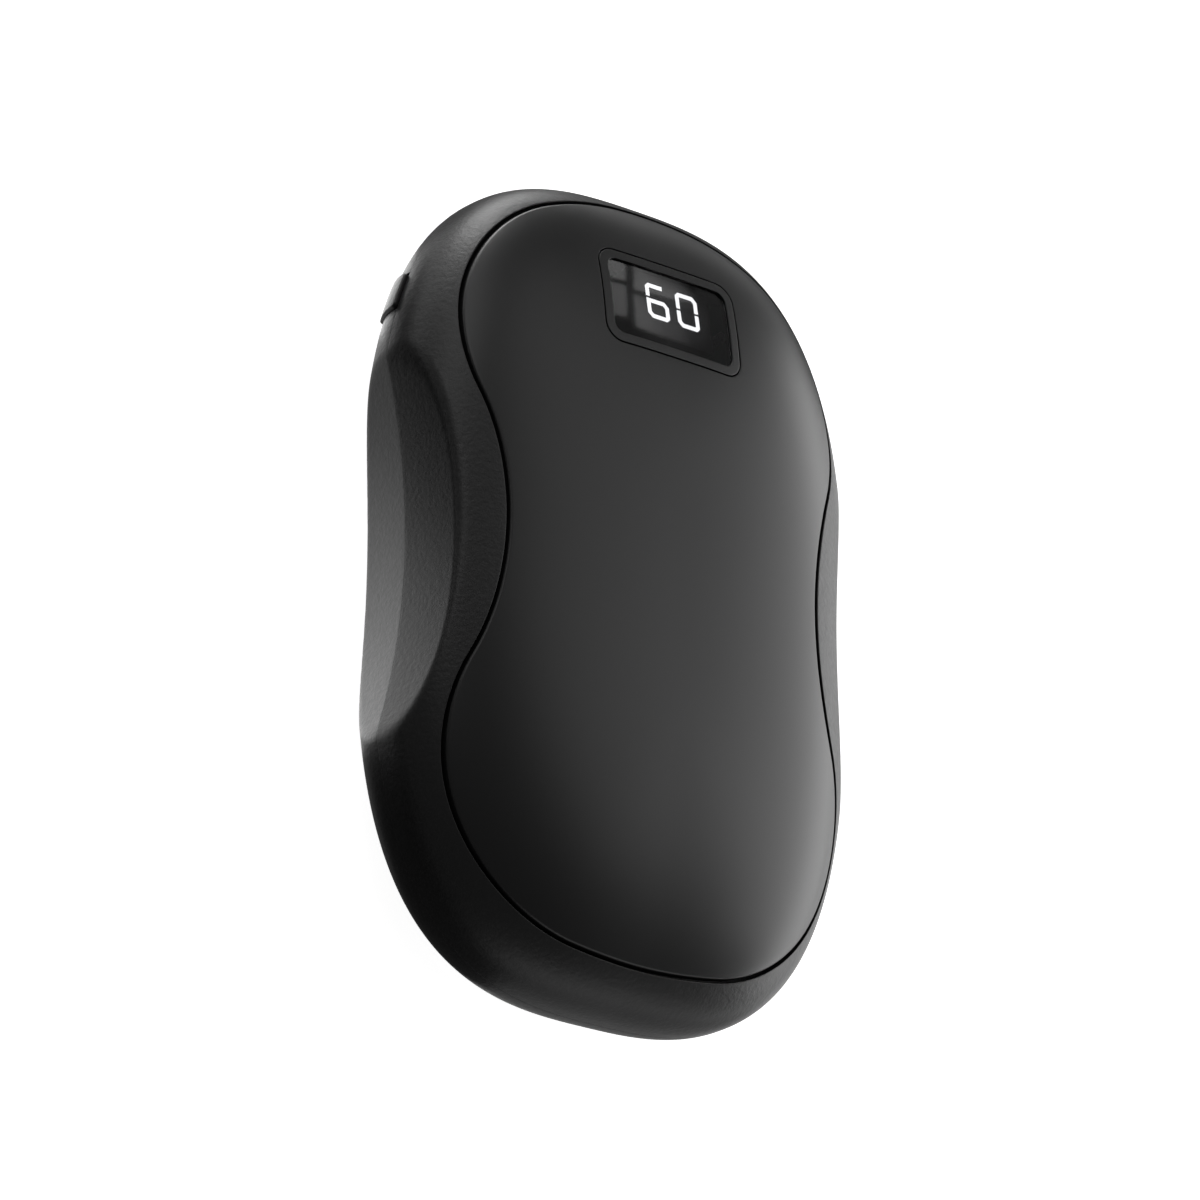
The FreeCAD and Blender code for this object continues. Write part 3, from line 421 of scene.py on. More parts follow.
def lowered(ring: Array, drop: float) -> Array:
    """Points of a ring on the front surface, lowered by a drop."""
    height = PEBBLE.front_height(ring[:, 0], ring[:, 1]) - drop
    return np.column_stack([ring, height])


def plate_rows(
    inner: Outline, outer: Outline, rounds: tuple[float, float], thickness: float, counts: tuple[int, int]
) -> Array:
    """Rows of a ring-shaped plate that follows the front, with both upper edges rounded.

    Args:
        inner: Edge of the opening, drawn into the plate by an amount.
        outer: Edge of the plate, drawn into it by an amount.
        rounds: Radii of the inner and outer edges.
        thickness: Thickness of the plate.
        counts: How many rows cross its face and its underside.

    Returns:
        The rows.
    """
    near, far = rounds
    first = inner(near)
    last = outer(far)
    turn = np.linspace(0.0, QUARTER, ROUND_ROWS)
    rows = [lowered(inner(0.0), thickness)]
    for step in turn:
        rows.append(lowered(inner(near * (1.0 - math.cos(step))), near * (1.0 - math.sin(step))))
    for share in np.linspace(0.0, 1.0, counts[0])[1:-1]:
        rows.append(lowered(first * (1.0 - share) + last * share, 0.0))
    for step in turn:
        rows.append(lowered(outer(far * (1.0 - math.sin(step))), far * (1.0 - math.cos(step))))
    for share in np.linspace(0.0, 1.0, counts[1], endpoint=False):
        rows.append(lowered(outer(0.0) * (1.0 - share) + inner(0.0) * share, thickness))
    return np.stack(rows)


def even_rows(points: Array, count: int) -> Array:
    """Rows of points spread evenly along each column's own length.

    Args:
        points: Dense rows, columns and coordinates.
        count: How many rows to keep.

    Returns:
        The new rows.
    """
    steps = np.linalg.norm(np.diff(points, axis=0), axis=2)
    length = np.concatenate([np.zeros((1, points.shape[1])), np.cumsum(steps, axis=0)])
    wanted = np.linspace(0.0, 1.0, count)
    result = np.empty((count, points.shape[1], 3))
    for column in range(points.shape[1]):
        run = length[:, column]
        for axis in range(3):
            result[:, column, axis] = np.interp(wanted * run[-1], run, points[:, column, axis])
    return result


def skin_mesh(name: str, points: Array, close_rows: bool = True) -> Piece:
    """Closed skin shaped from a grid whose columns, and rows if asked, meet themselves.

    Args:
        name: Name of the piece.
        points: Rows, columns and coordinates, in millimetres.
        close_rows: Whether the last row joins the first.

    Returns:
        The new object.
    """
    points = np.concatenate([points, points[:, :1]], axis=1)
    if close_rows:
        points = np.concatenate([points, points[:1]], axis=0)
    rows, columns = points.shape[:2]
    shape = bmesh.new()
    bmesh.ops.create_grid(shape, x_segments=columns - 1, y_segments=rows - 1, size=1.0)
    shape.verts.ensure_lookup_table()
    flat = points.reshape(-1, 3) * MM
    for vert, place in zip(shape.verts, flat.tolist()):
        vert.co = place
    bmesh.ops.remove_doubles(shape, verts=shape.verts, dist=WELD)
    bmesh.ops.recalc_face_normals(shape, faces=shape.faces)
    return finish_mesh(name, shape)


def finish_mesh(name: str, shape: bmesh.types.BMesh) -> Piece:
    """Turns a bmesh into an object with smooth faces and sharp creases.

    Args:
        name: Name of the piece.
        shape: The finished bmesh, which is freed.

    Returns:
        The new object, linked to the scene.
    """
    for face in shape.faces:
        face.smooth = True
    mesh = bpy.data.meshes.new(name)
    shape.to_mesh(mesh)
    shape.free()
    mesh.set_sharp_from_angle(angle=SHARP)
    piece = bpy.data.objects.new(name, mesh)
    bpy.context.scene.collection.objects.link(piece)
    return piece


def joined(name: str, pieces: Sequence[Piece]) -> Piece:
    """One object made of several, which are removed.

    Args:
        name: Name of the new piece.
        pieces: What it is made of.

    Returns:
        The new object.
    """
    shape = bmesh.new()
    for piece in pieces:
        mesh = piece.data
        shape.from_mesh(mesh)
        bpy.data.objects.remove(piece)
        bpy.data.meshes.remove(mesh)
    return finish_mesh(name, shape)


def stroke_sides(path: Array, width: float, closed: bool) -> tuple[Array, Array]:
    """Left and right edges of a stroke along a flat path, mitred at its corners.

    Args:
        path: Points of the middle line.
        width: Width of the stroke.
        closed: Whether the last point joins the first.

    Returns:
        The two edges.
    """
    step = np.roll(path, -1, axis=0) - path
    if not closed:
        step[-1] = step[-2]
    step = step / np.linalg.norm(step, axis=1)[:, None]
    ahead = np.column_stack([-step[:, 1], step[:, 0]])
    behind = np.roll(ahead, 1, axis=0)
    if not closed:
        behind[0] = ahead[0]
    mitre = ahead + behind
    mitre = mitre / np.sum(mitre * ahead, axis=1)[:, None]
    return path + mitre * width / 2.0, path - mitre * width / 2.0


def carve(piece: Piece, cutters: Sequence[Piece]) -> None:
    """Cuts other objects out of a piece and removes them.

    Args:
        piece: The piece to cut.
        cutters: What is cut out of it.
    """
    for cutter in cutters:
        modifier = piece.modifiers.new("cut", "BOOLEAN")
        modifier.object = cutter
        modifier.operation = "DIFFERENCE"
        modifier.solver = "EXACT"
    graph = bpy.context.evaluated_depsgraph_get()
    mesh = bpy.data.meshes.new_from_object(piece.evaluated_get(graph))
    piece.modifiers.clear()
    old = piece.data
    piece.data = mesh
    mesh.name = old.name
    bpy.data.meshes.remove(old)
    mesh.set_sharp_from_angle(angle=SHARP)
    for cutter in cutters:
        bpy.data.objects.remove(cutter)


@dataclass(frozen=True)
class Finish:
    """How one material of the warmer looks."""

    name: str
    colour: Point
    roughness: float
    metallic: float = 0.0
    specular: float = 0.5
    transmission: float = 0.0
    grain_size: float = 0.25
    grain_depth: float = 0.004
    grain_rough: float = 0.08
    blotch: float = 0.12
    glow: float = 0.0
    halo: float = 0.0


def connect(tree: Tree, node: bpy.types.Node, inputs: Inputs) -> None:
    """Sets or links inputs of a node.

    Args:
        tree: The tree that the node belongs to.
        node: The node.
        inputs: Values or sockets, by the name or number of the input.
    """
    for key, value in inputs.items():
        if isinstance(value, Socket):
            tree.links.new(value, node.inputs[key])
        else:
            node.inputs[key].default_value = value


def wired(tree: Tree, kind: str, inputs: Inputs, operation: str = "") -> bpy.types.Node:
    """Adds a shader node with its inputs set or linked.

    Args:
        tree: The tree that gets the node.
        kind: The node's type, without the start that all types share.
        inputs: Values or sockets, by the name or number of the input.
        operation: What a maths node works out.

    Returns:
        The node.
    """
    node = tree.nodes.new("ShaderNode" + kind)
    if operation:
        node.operation = operation
    connect(tree, node, inputs)
    return node


def eased(tree: Tree, value: Socket, start: float, levels: tuple[float, float]) -> Socket:
    """A level that eases into another while a value grows by one.

    Args:
        tree: The tree that gets the nodes.
        value: The value.
        start: Where the change begins.
        levels: The first and the last level.

    Returns:
        The socket that carries the level.
    """
    span = {"From Min": start, "From Max": start + 1.0, "To Min": levels[0], "To Max": levels[1]}
    fall = wired(tree, "MapRange", {"Value": value, **span})
    fall.interpolation_type = "SMOOTHSTEP"
    return fall.outputs["Result"]


class Shaders:
    """Builds the shared effect and every material."""

    GRAIN_SOCKETS = {
        "INPUT": ("Colour", "Roughness", "Grain Size", "Grain Rough", "Blotch"),
        "OUTPUT": ("Colour", "Roughness", "Height"),
    }
    FINE_NOISE = {"Detail": 3.0, "Roughness": 0.6}
    SLOW_NOISE = {"Scale": 55.0, "Detail": 2.0}
    NOISE_MIDDLE = 0.5
    IOR = 1.5

    def __init__(self) -> None:
        """Makes the grain group."""
        self.made: dict[str, Material] = {}
        self.grain = self.grain_group()

    def grain_group(self) -> Tree:
        """Moulded grain: fine pits, a slow unevenness of tone and their roughness.

        Returns:
            The node group.
        """
        group = bpy.data.node_groups.new("moulded_grain", "ShaderNodeTree")
        for way, names in self.GRAIN_SOCKETS.items():
            for name in names:
                kind = "NodeSocketColor" if name == "Colour" else "NodeSocketFloat"
                group.interface.new_socket(name, in_out=way, socket_type=kind)
        entry = group.nodes.new("NodeGroupInput")
        leave = group.nodes.new("NodeGroupOutput")
        place = wired(group, "TexCoord", {}).outputs["Object"]
        scale = wired(group, "Math", {0: PER_METRE, 1: entry.outputs["Grain Size"]}, "DIVIDE").outputs[0]
        fine = wired(group, "TexNoise", {"Vector": place, "Scale": scale, **self.FINE_NOISE}).outputs["Fac"]
        slow = wired(group, "TexNoise", {"Vector": place, **self.SLOW_NOISE}).outputs["Fac"]
        swing = self.centred(group, fine, entry.outputs["Grain Rough"])
        rough = wired(group, "Math", {0: entry.outputs["Roughness"], 1: swing}, "ADD")
        rough.use_clamp = True
        tone = self.centred(group, slow, entry.outputs["Blotch"])
        lift = wired(group, "Math", {0: 1.0, 1: tone}, "ADD").outputs[0]
        tint = wired(group, "VectorMath", {0: entry.outputs["Colour"], "Scale": lift}, "SCALE").outputs[0]
        connect(group, leave, {"Colour": tint, "Roughness": rough.outputs[0], "Height": fine})
        return group

    def centred(self, group: Tree, value: Socket, amount: Socket) -> Socket:
        """A noise value taken about zero and scaled by an amount."""
        shift = wired(group, "Math", {0: value, 1: self.NOISE_MIDDLE}, "SUBTRACT").outputs[0]
        return wired(group, "Math", {0: shift, 1: amount}, "MULTIPLY").outputs[0]

    def material(self, finish: Finish) -> Material:
        """The material of a finish, made once.

        Args:
            finish: The finish.

        Returns:
            The material.
        """
        if finish.name in self.made:
            return self.made[finish.name]
        material = bpy.data.materials.new(finish.name)
        material.use_nodes = True
        tree = material.node_tree
        colour = (*finish.colour, 1.0)
        grain = tree.nodes.new("ShaderNodeGroup")
        grain.node_tree = self.grain
        connect(tree, grain, {
            "Colour": colour,
            "Roughness": finish.roughness,
            "Grain Size": finish.grain_size,
            "Grain Rough": finish.grain_rough,
            "Blotch": finish.blotch,
        })
        pits = {"Strength": 1.0, "Distance": finish.grain_depth * MM, "Height": grain.outputs["Height"]}
        look = {
            "Base Color": grain.outputs["Colour"],
            "Roughness": grain.outputs["Roughness"],
            "Normal": wired(tree, "Bump", pits).outputs["Normal"],
            "Metallic": finish.metallic,
            "Specular IOR Level": finish.specular,
            "Transmission Weight": finish.transmission,
            "IOR": self.IOR,
        }
        if finish.glow:
            look |= {"Emission Color": colour, "Emission Strength": finish.glow}
        # The halo paints a glow of the digits' light onto a surface that is no lamp.
        if finish.halo:
            look |= {"Emission Color": self.halo(tree), "Emission Strength": finish.halo}
        connect(tree, tree.nodes["Principled BSDF"], look)
        self.made[finish.name] = material
        return material

    @staticmethod
    def halo(tree: Tree) -> Socket:
        """Painted glow: a soft patch of emitted light that fades away from the lit digits.

        Args:
            tree: The tree that gets the nodes.

        Returns:
            The socket that carries the brightness.
        """
        place = wired(tree, "TexCoord", {}).outputs["Object"]
        for operation, sizes in (("SUBTRACT", HALO_PLACE), ("DIVIDE", HALO_REACH)):
            metres = [size * MM for size in sizes]
            place = wired(tree, "VectorMath", {0: place, 1: metres}, operation).outputs[0]
        length = wired(tree, "VectorMath", {0: place}, "LENGTH").outputs["Value"]
        return eased(tree, length, 0.0, (1.0, 0.0))


HALO_PLACE = (1.05, 34.5, 23.3)
HALO_REACH = (7.5, 5.5, 5.5)
SHELL_BLACK = Finish("shell_black", (0.0050, 0.0050, 0.0052), 0.42, specular=0.36, grain_size=0.6,
                     grain_depth=0.045, grain_rough=0.14, blotch=0.10)
GOLD_CONTACT = Finish("gold_contact", (0.85, 0.60, 0.22), 0.22, metallic=1.0, grain_size=0.1,
                      grain_depth=0.001)
SLOT_FINISH = {
    "shell": SHELL_BLACK,
    "panel": Finish("panel_black", (0.0052, 0.0052, 0.0054), 0.37, specular=0.36, grain_size=0.16,
                    grain_depth=0.003, grain_rough=0.06, blotch=0.06),
    "bezel": Finish("bezel_black", (0.0048, 0.0048, 0.0050), 0.40, specular=0.36, grain_size=0.16,
                    grain_depth=0.003),
    "lens": Finish("smoked_glass", (0.30, 0.30, 0.31), 0.06, transmission=1.0, grain_size=2.0,
                   grain_depth=0.0, grain_rough=0.01, blotch=0.02),
    # The module and the unlit segments carry a painted glow round the lit digits (halo).
    "module": Finish("module_black", (0.006, 0.006, 0.0065), 0.5, specular=0.3, halo=0.10),
    "lit_segment": Finish("lit_white", (1.0, 1.0, 1.0), 0.4, glow=3.8, grain_depth=0.0),
    "dark_segment": Finish("unlit_segment", (0.0062, 0.0062, 0.0067), 0.5, specular=0.3, halo=0.10),
    "board": Finish("board_green", (0.012, 0.10, 0.045), 0.35, grain_size=0.6, grain_depth=0.006,
                    blotch=0.25),
    "steel": Finish("plated_steel", (0.62, 0.62, 0.63), 0.28, metallic=1.0, grain_size=0.12,
                    grain_depth=0.001),
    "moulding": Finish("black_moulding", (0.015, 0.015, 0.016), 0.4),
    "plug": Finish("natural_moulding", (0.70, 0.67, 0.58), 0.4),
    "button": SHELL_BLACK,
    "plunger": Finish("pale_moulding", (0.50, 0.47, 0.42), 0.4),
    "cell": Finish("pouch_foil", (0.55, 0.56, 0.58), 0.32, metallic=1.0, grain_size=2.5,
                   grain_depth=0.05, blotch=0.08),
    "lead": Finish("red_lead", (0.42, 0.02, 0.02), 0.45),
    "film": Finish("amber_film", (0.45, 0.20, 0.03), 0.25, grain_size=1.2, grain_depth=0.01, blotch=0.2),
    "pad": Finish("pale_foam", (0.62, 0.60, 0.56), 0.9, grain_size=0.5, grain_depth=0.08),
    "bead": Finish("dark_bead", (0.02, 0.02, 0.02), 0.2),
    "ferrite": Finish("dark_ferrite", (0.05, 0.05, 0.052), 0.6, grain_size=0.3, grain_depth=0.02),
    "ceramic": Finish("tan_ceramic", (0.42, 0.30, 0.17), 0.5),
}


@dataclass
class SubAssembly:
    """What every sub-assembly of the warmer shares."""

    shaders: Shaders

    def dress(self, piece: Piece, body: str, slot: str, *nodes: str, finish: Finish | None = None) -> Piece:
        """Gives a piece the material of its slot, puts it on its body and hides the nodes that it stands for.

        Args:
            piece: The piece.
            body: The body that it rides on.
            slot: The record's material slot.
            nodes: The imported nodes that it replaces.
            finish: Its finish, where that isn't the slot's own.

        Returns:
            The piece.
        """
        piece.data.materials.clear()
        piece.data.materials.append(self.shaders.material(finish or SLOT_FINISH[slot]))
        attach(piece, body)
        if nodes:
            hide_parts(*nodes)
        LOG.info("%s: %d faces on %s", piece.name, len(piece.data.polygons), body)
        return piece


@dataclass
class Shells(SubAssembly):
    """Front and rear shells with their scoops, panel seat, button hole and socket slot."""

    columns: int = 640
    outer_rows: int = 72
    dense_rows: int = 420
    inner_rows: int = 12
    inner_end: float = 0.93
    seam_round: float = 0.04
    groove_round: float = 0.14
    seat_depth: float = 1.25
    seat_width: float = 3.0
    land_steps: tuple[float, ...] = (0.8, 0.55, 0.3, 0.1, 0.0)
    floor_steps: tuple[float, ...] = (0.0, 0.3, 0.7)

    @property
    def angles(self) -> Array:
        """Directions of the columns."""
        return np.linspace(-QUARTER, TURN - QUARTER, self.columns, endpoint=False)

    def seam_rows(self, side: Side) -> Array:
        """Rows that round the shell's edge at the parting plane.

        Args:
            side: Which half.

        Returns:
            The rows.
        """
        angle = self.angles[None, :]
        turn = np.linspace(0.0, QUARTER, ROUND_ROWS)[:-1, None]
        height = PEBBLE.parting + side.value * self.seam_round * (1.0 - np.cos(turn)) + 0.0 * angle
        radius = PEBBLE.skin(angle, height, side) - self.seam_round * (1.0 - np.sin(turn))
        return polar(angle, radius, height)

    def skin_rows(self, side: Side, share: Array, inset: float = 0.0) -> Array:
        """Points of the surface at shares of its depth.

        Args:
            side: Which half.
            share: The shares, in rows and columns.
            inset: How far the surface is drawn in.

        Returns:
            The rows.
        """
        height = PEBBLE.parting + side.value * (PEBBLE.depth(side) - inset) * share
        angle = self.angles[None, :] + 0.0 * share
        return polar(angle, PEBBLE.skin(angle, height, side, inset), height)

    def outer_skin(self, side: Side, end: Array) -> Array:
        """Even rows of the outer surface, from the seam to an end share.

        Args:
            side: Which half.
            end: Share of the depth at which each column ends.

        Returns:
            The rows.
        """
        first = self.seam_round / PEBBLE.depth(side)
        share = first + (end - first)[None, :] * np.linspace(0.0, 1.0, self.dense_rows)[:, None]
        return even_rows(self.skin_rows(side, share), self.outer_rows)

    def inner_skin(self, side: Side, end: Array) -> Array:
        """Rows of the inner surface, from an end share back to the parting plane."""
        share = end[None, :] * np.linspace(1.0, 0.0, self.inner_rows)[:, None]
        return self.skin_rows(side, share, PEBBLE.wall)

    def on_front(self, radius: Array, drop: Array | float) -> Array:
        """Points below the front surface.

        Args:
            radius: Distances from the axis, in rows and columns.
            drop: How far below the surface they lie.

        Returns:
            The points.
        """
        angle = self.angles[None, :] + 0.0 * radius
        height = PEBBLE.front_height(np.cos(angle) * radius, np.sin(angle) * radius) - drop
        return polar(angle, radius, height)

    def level_rows(self, radius: Array, steps: Sequence[float], height: float) -> Array:
        """Level rows at shares of each column's radius."""
        share = np.array(steps)[:, None]
        return polar(self.angles[None, :], radius[None, :] * share, np.full_like(share, height))

    def front(self) -> Piece:
        """Front shell with the recess that the panel lies in.

        Returns:
            The piece.
        """
        angle = self.angles
        groove = PANEL_OUTLINE.radius(angle)
        inner = groove - self.seat_width
        turn = np.linspace(0.0, QUARTER, ROUND_ROWS)[1:, None]
        lip = groove[None, :] + self.groove_round * (1.0 - np.sin(turn))
        share = PEBBLE.share_at(angle, groove + self.groove_round, Side.FRONT)
        rows = [
            self.seam_rows(Side.FRONT),
            self.outer_skin(Side.FRONT, share),
            self.on_front(lip, self.groove_round * (1.0 - np.cos(turn))),
        ]
        seat = (
            (groove, self.seat_depth / 2.0),
            (groove, self.seat_depth),
            (inner, self.seat_depth),
            (inner, self.seat_depth + PEBBLE.front_floor),
        )
        rows += [self.on_front(radius[None, :], drop) for radius, drop in seat]
        end = PEBBLE.share_at(angle, inner, Side.FRONT, PEBBLE.wall)
        rows.append(self.inner_skin(Side.FRONT, self.inner_end * end))
        piece = skin_mesh("front_shell_skin", np.concatenate(rows))
        return self.dress(piece, HOUSING, "shell", "front_shell")

    def rear(self, cutters: Sequence[Piece]) -> Piece:
        """Rear shell with its flat land, and what is cut out of its wall.

        Args:
            cutters: Shapes of the button's hole and the socket's slot.

        Returns:
            The piece.
        """
        angle = self.angles
        edge = np.full_like(angle, PEBBLE.land_share)
        land = PEBBLE.radius(angle, edge, Side.BACK)
        inner = PEBBLE.radius(angle, edge, Side.BACK, PEBBLE.wall)
        floor = PEBBLE.parting - (PEBBLE.back_depth - PEBBLE.wall) * PEBBLE.land_share
        rows = [
            self.seam_rows(Side.BACK),
            self.outer_skin(Side.BACK, edge),
            self.level_rows(land, self.land_steps, 0.0),
            self.level_rows(inner, self.floor_steps, floor),
            self.inner_skin(Side.BACK, edge),
        ]
        piece = skin_mesh("rear_shell_skin", np.concatenate(rows))
        carve(piece, cutters)
        return self.dress(piece, HOUSING, "shell", "rear_shell")


@dataclass
class HeatPanel(SubAssembly):
    """Waisted heat panel with the display's window in it."""

    groove: float = 0.44
    thickness: float = 1.2
    edge_round: float = 0.2
    window_round: float = 0.05
    rows: int = 96
    under_rows: int = 6

    def build(self, window: RoundedFrame) -> Piece:
        """Panel as a ring between the window's edge and the panel's own.

        Args:
            window: Outline of the opening for the display.

        Returns:
            The piece.
        """
        outline = PANEL_OUTLINE.points(self.groove)
        angle = np.arctan2(outline[:, 1] - window.centre_y, outline[:, 0] - window.centre_x)
        rows = plate_rows(
            lambda inset: window.at_angles(angle, -inset),
            lambda inset: PANEL_OUTLINE.points(self.groove + inset),
            (self.window_round, self.edge_round),
            self.thickness,
            (self.rows, self.under_rows),
        )
        return self.dress(skin_mesh("heat_panel", rows), HOUSING, "panel", "front_panel")


@dataclass
class Display(SubAssembly):
    """Bezel, smoked lens, and lit and unlit digits."""

    width: float = 20.3
    length: float = 12.6
    corner: float = 2.4
    place: float = 33.6
    groove: float = 0.2
    bezel_width: float = 1.1
    bezel_round: float = 0.05
    lens_corner: float = 1.4
    lens_gap: float = 0.06
    lens_recess: float = 0.27
    lens_thickness: float = 0.3
    thickness: float = 1.2
    module_width: float = 12.4
    module_length: float = 8.4
    module_side: float = 1.05
    module_shift: float = 1.0
    module_gap: float = 0.27
    digit_width: float = 3.25
    digit_height: float = 4.7
    digit_pitch: float = 4.5
    stroke_width: float = 0.54
    stroke_height: float = 0.03
    stroke_gap: float = 0.30
    small_cut: float = 0.28
    large_cut: float = 0.46
    free_end: float = 0.45
    digit_side: float = 0.52
    digit_up: float = 0.64
    bezel_rows: int = 6
    lens_steps: tuple[float, ...] = (0.0, 0.15, 0.3, 0.45, 0.6, 0.75, 0.88, 1.0)
    lens_back_steps: tuple[float, ...] = (1.0, 0.75, 0.5, 0.25, 0.0)

    @property
    def window(self) -> RoundedFrame:
        """Opening of the panel."""
        return RoundedFrame(self.width / 2.0, self.length / 2.0, self.corner, 0.0, self.place)

    @property
    def opening(self) -> RoundedFrame:
        """Opening of the bezel.

        Returns:
            Its outline.
        """
        inset = self.groove + self.bezel_width
        half = (self.width / 2.0 - inset, self.length / 2.0 - inset)
        return RoundedFrame(*half, self.lens_corner, 0.0, self.place)

    def bezel(self) -> Piece:
        """Slim ring round the lens, with both edges rounded.

        Returns:
            The piece.
        """
        rows = plate_rows(
            lambda inset: self.opening.points(-inset),
            lambda inset: self.window.points(self.groove + inset),
            (self.bezel_round, self.bezel_round),
            self.thickness,
            (self.bezel_rows, 1),
        )
        return self.dress(skin_mesh("bezel_ring", rows), HOUSING, "bezel", "display_bezel")

    def lens(self) -> Piece:
        """Smoked window, set back in the bezel and curved with the front.

        Returns:
            The piece.
        """
        edge = self.opening.points(self.lens_gap)
        centre = np.array([[0.0, self.place]])
        rows = []
        for steps, drop in ((self.lens_steps, 0.0), (self.lens_back_steps, self.lens_thickness)):
            for share in steps:
                ring = centre * (1.0 - share) + edge * share
                height = PEBBLE.front_height(ring[:, 0], ring[:, 1], self.lens_recess) - drop
                rows.append(np.column_stack([ring, height]))
        piece = skin_mesh("smoked_lens", np.stack(rows), close_rows=False)
        return self.dress(piece, HOUSING, "lens", "display_lens")

    def on_module(self, flat: Array, lift: float) -> Array:
        """Points on or above the display module's face, which tilts with the front.

        Args:
            flat: Places across and along, from the window's middle.
            lift: Height above the face.

        Returns:
            The points.
        """
        line = self.place + np.array([-0.5, 0.0, 0.5]) * self.length
        under = PEBBLE.front_height(np.zeros(3), line, self.thickness)
        tilt = math.atan2(under[2] - under[0], self.length)
        across = self.module_side + np.array([-0.5, -0.5, 0.5, 0.5]) * self.module_width
        along = self.module_shift + np.array([-0.5, 0.5, -0.5, 0.5]) * self.module_length
        # The face sinks until its highest corner clears the underside of the dome by the gap
        corner = under[1] + along * math.sin(tilt)
        fall = corner - PEBBLE.front_height(across, self.place + along * math.cos(tilt), self.thickness)
        rise = lift - self.module_gap - fall.max()
        y = self.place + flat[:, 1] * math.cos(tilt) - rise * math.sin(tilt)
        z = under[1] + flat[:, 1] * math.sin(tilt) + rise * math.cos(tilt)
        return np.column_stack([flat[:, 0], y, z])

    def lit_strokes(self) -> Strokes:
        """Lit strokes of 6 and 0.

        Returns:
            Middle lines, and whether each closes on itself.
        """
        wide, tall = self.digit_reach
        small = self.small_cut
        large = self.large_cut
        half = self.stroke_gap / 2.0
        bar = self.stroke_width / 2.0 + self.stroke_gap
        hook = [(wide - self.free_end, tall), (small - wide, tall), (-wide, tall - small), (-wide, bar)]
        loop = [(-wide, 0.0), (wide - large, 0.0), (wide, -large), (wide, small - tall)]
        loop += [(wide - small, -tall), (large - wide, -tall), (-wide, large - tall)]
        over = [(-wide, half), (-wide, tall - small), (small - wide, tall)]
        over += [(wide - large, tall), (wide, tall - large), (wide, half)]
        below = [(wide, -half), (wide, small - tall), (wide - small, -tall)]
        below += [(large - wide, -tall), (-wide, large - tall), (-wide, -half)]
        six, nought = self.digit_places
        return [
            (np.array(hook) + six, False),
            (np.array(loop) + six, True),
            (np.array(over) + nought, False),
            (np.array(below) + nought, False),
        ]

    def dark_strokes(self) -> Strokes:
        """Strokes that 6 and 0 leave unlit.

        Returns:
            Middle lines, and whether each closes on itself.
        """
        wide, tall = self.digit_reach
        bar = self.stroke_width / 2.0 + self.stroke_gap
        side = [(wide, tall - self.large_cut), (wide, bar)]
        middle = [(bar - wide, 0.0), (wide - bar, 0.0)]
        six, nought = self.digit_places
        return [(np.array(side) + six, False), (np.array(middle) + nought, False)]

    @property
    def digit_reach(self) -> tuple[float, float]:
        """Half the width and half the height of a digit, to the middles of its strokes."""
        return (self.digit_width - self.stroke_width) / 2.0, (self.digit_height - self.stroke_width) / 2.0

    @property
    def digit_places(self) -> tuple[Array, Array]:
        """Middles of the two digits.

        Returns:
            The places across and along, from the window's middle.
        """
        middle = np.array([self.module_side + self.digit_side, self.module_shift + self.digit_up])
        step = np.array([self.digit_pitch / 2.0, 0.0])
        return middle - step, middle + step

    def digits(self, name: str, strokes: Strokes, slot: str, node: str) -> None:
        """Strokes with cut corners that lie on the module's face.

        Args:
            name: Name of the piece.
            strokes: Middle lines, and whether each closes on itself.
            slot: The record's material slot.
            node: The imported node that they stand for.
        """
        pieces = []
        for path, closed in strokes:
            left, right = stroke_sides(path, self.stroke_width, closed)
            top = (self.on_module(left, self.stroke_height), self.on_module(right, self.stroke_height))
            section = np.stack([*top, self.on_module(right, 0.0), self.on_module(left, 0.0)], axis=1)
            if not closed:
                middle = section.mean(axis=1, keepdims=True) + 0.0 * section
                section = np.concatenate([middle[:1], section, middle[-1:]])
            pieces.append(skin_mesh("stroke", section, close_rows=closed))
        self.dress(joined(name, pieces), HOUSING, slot, node)


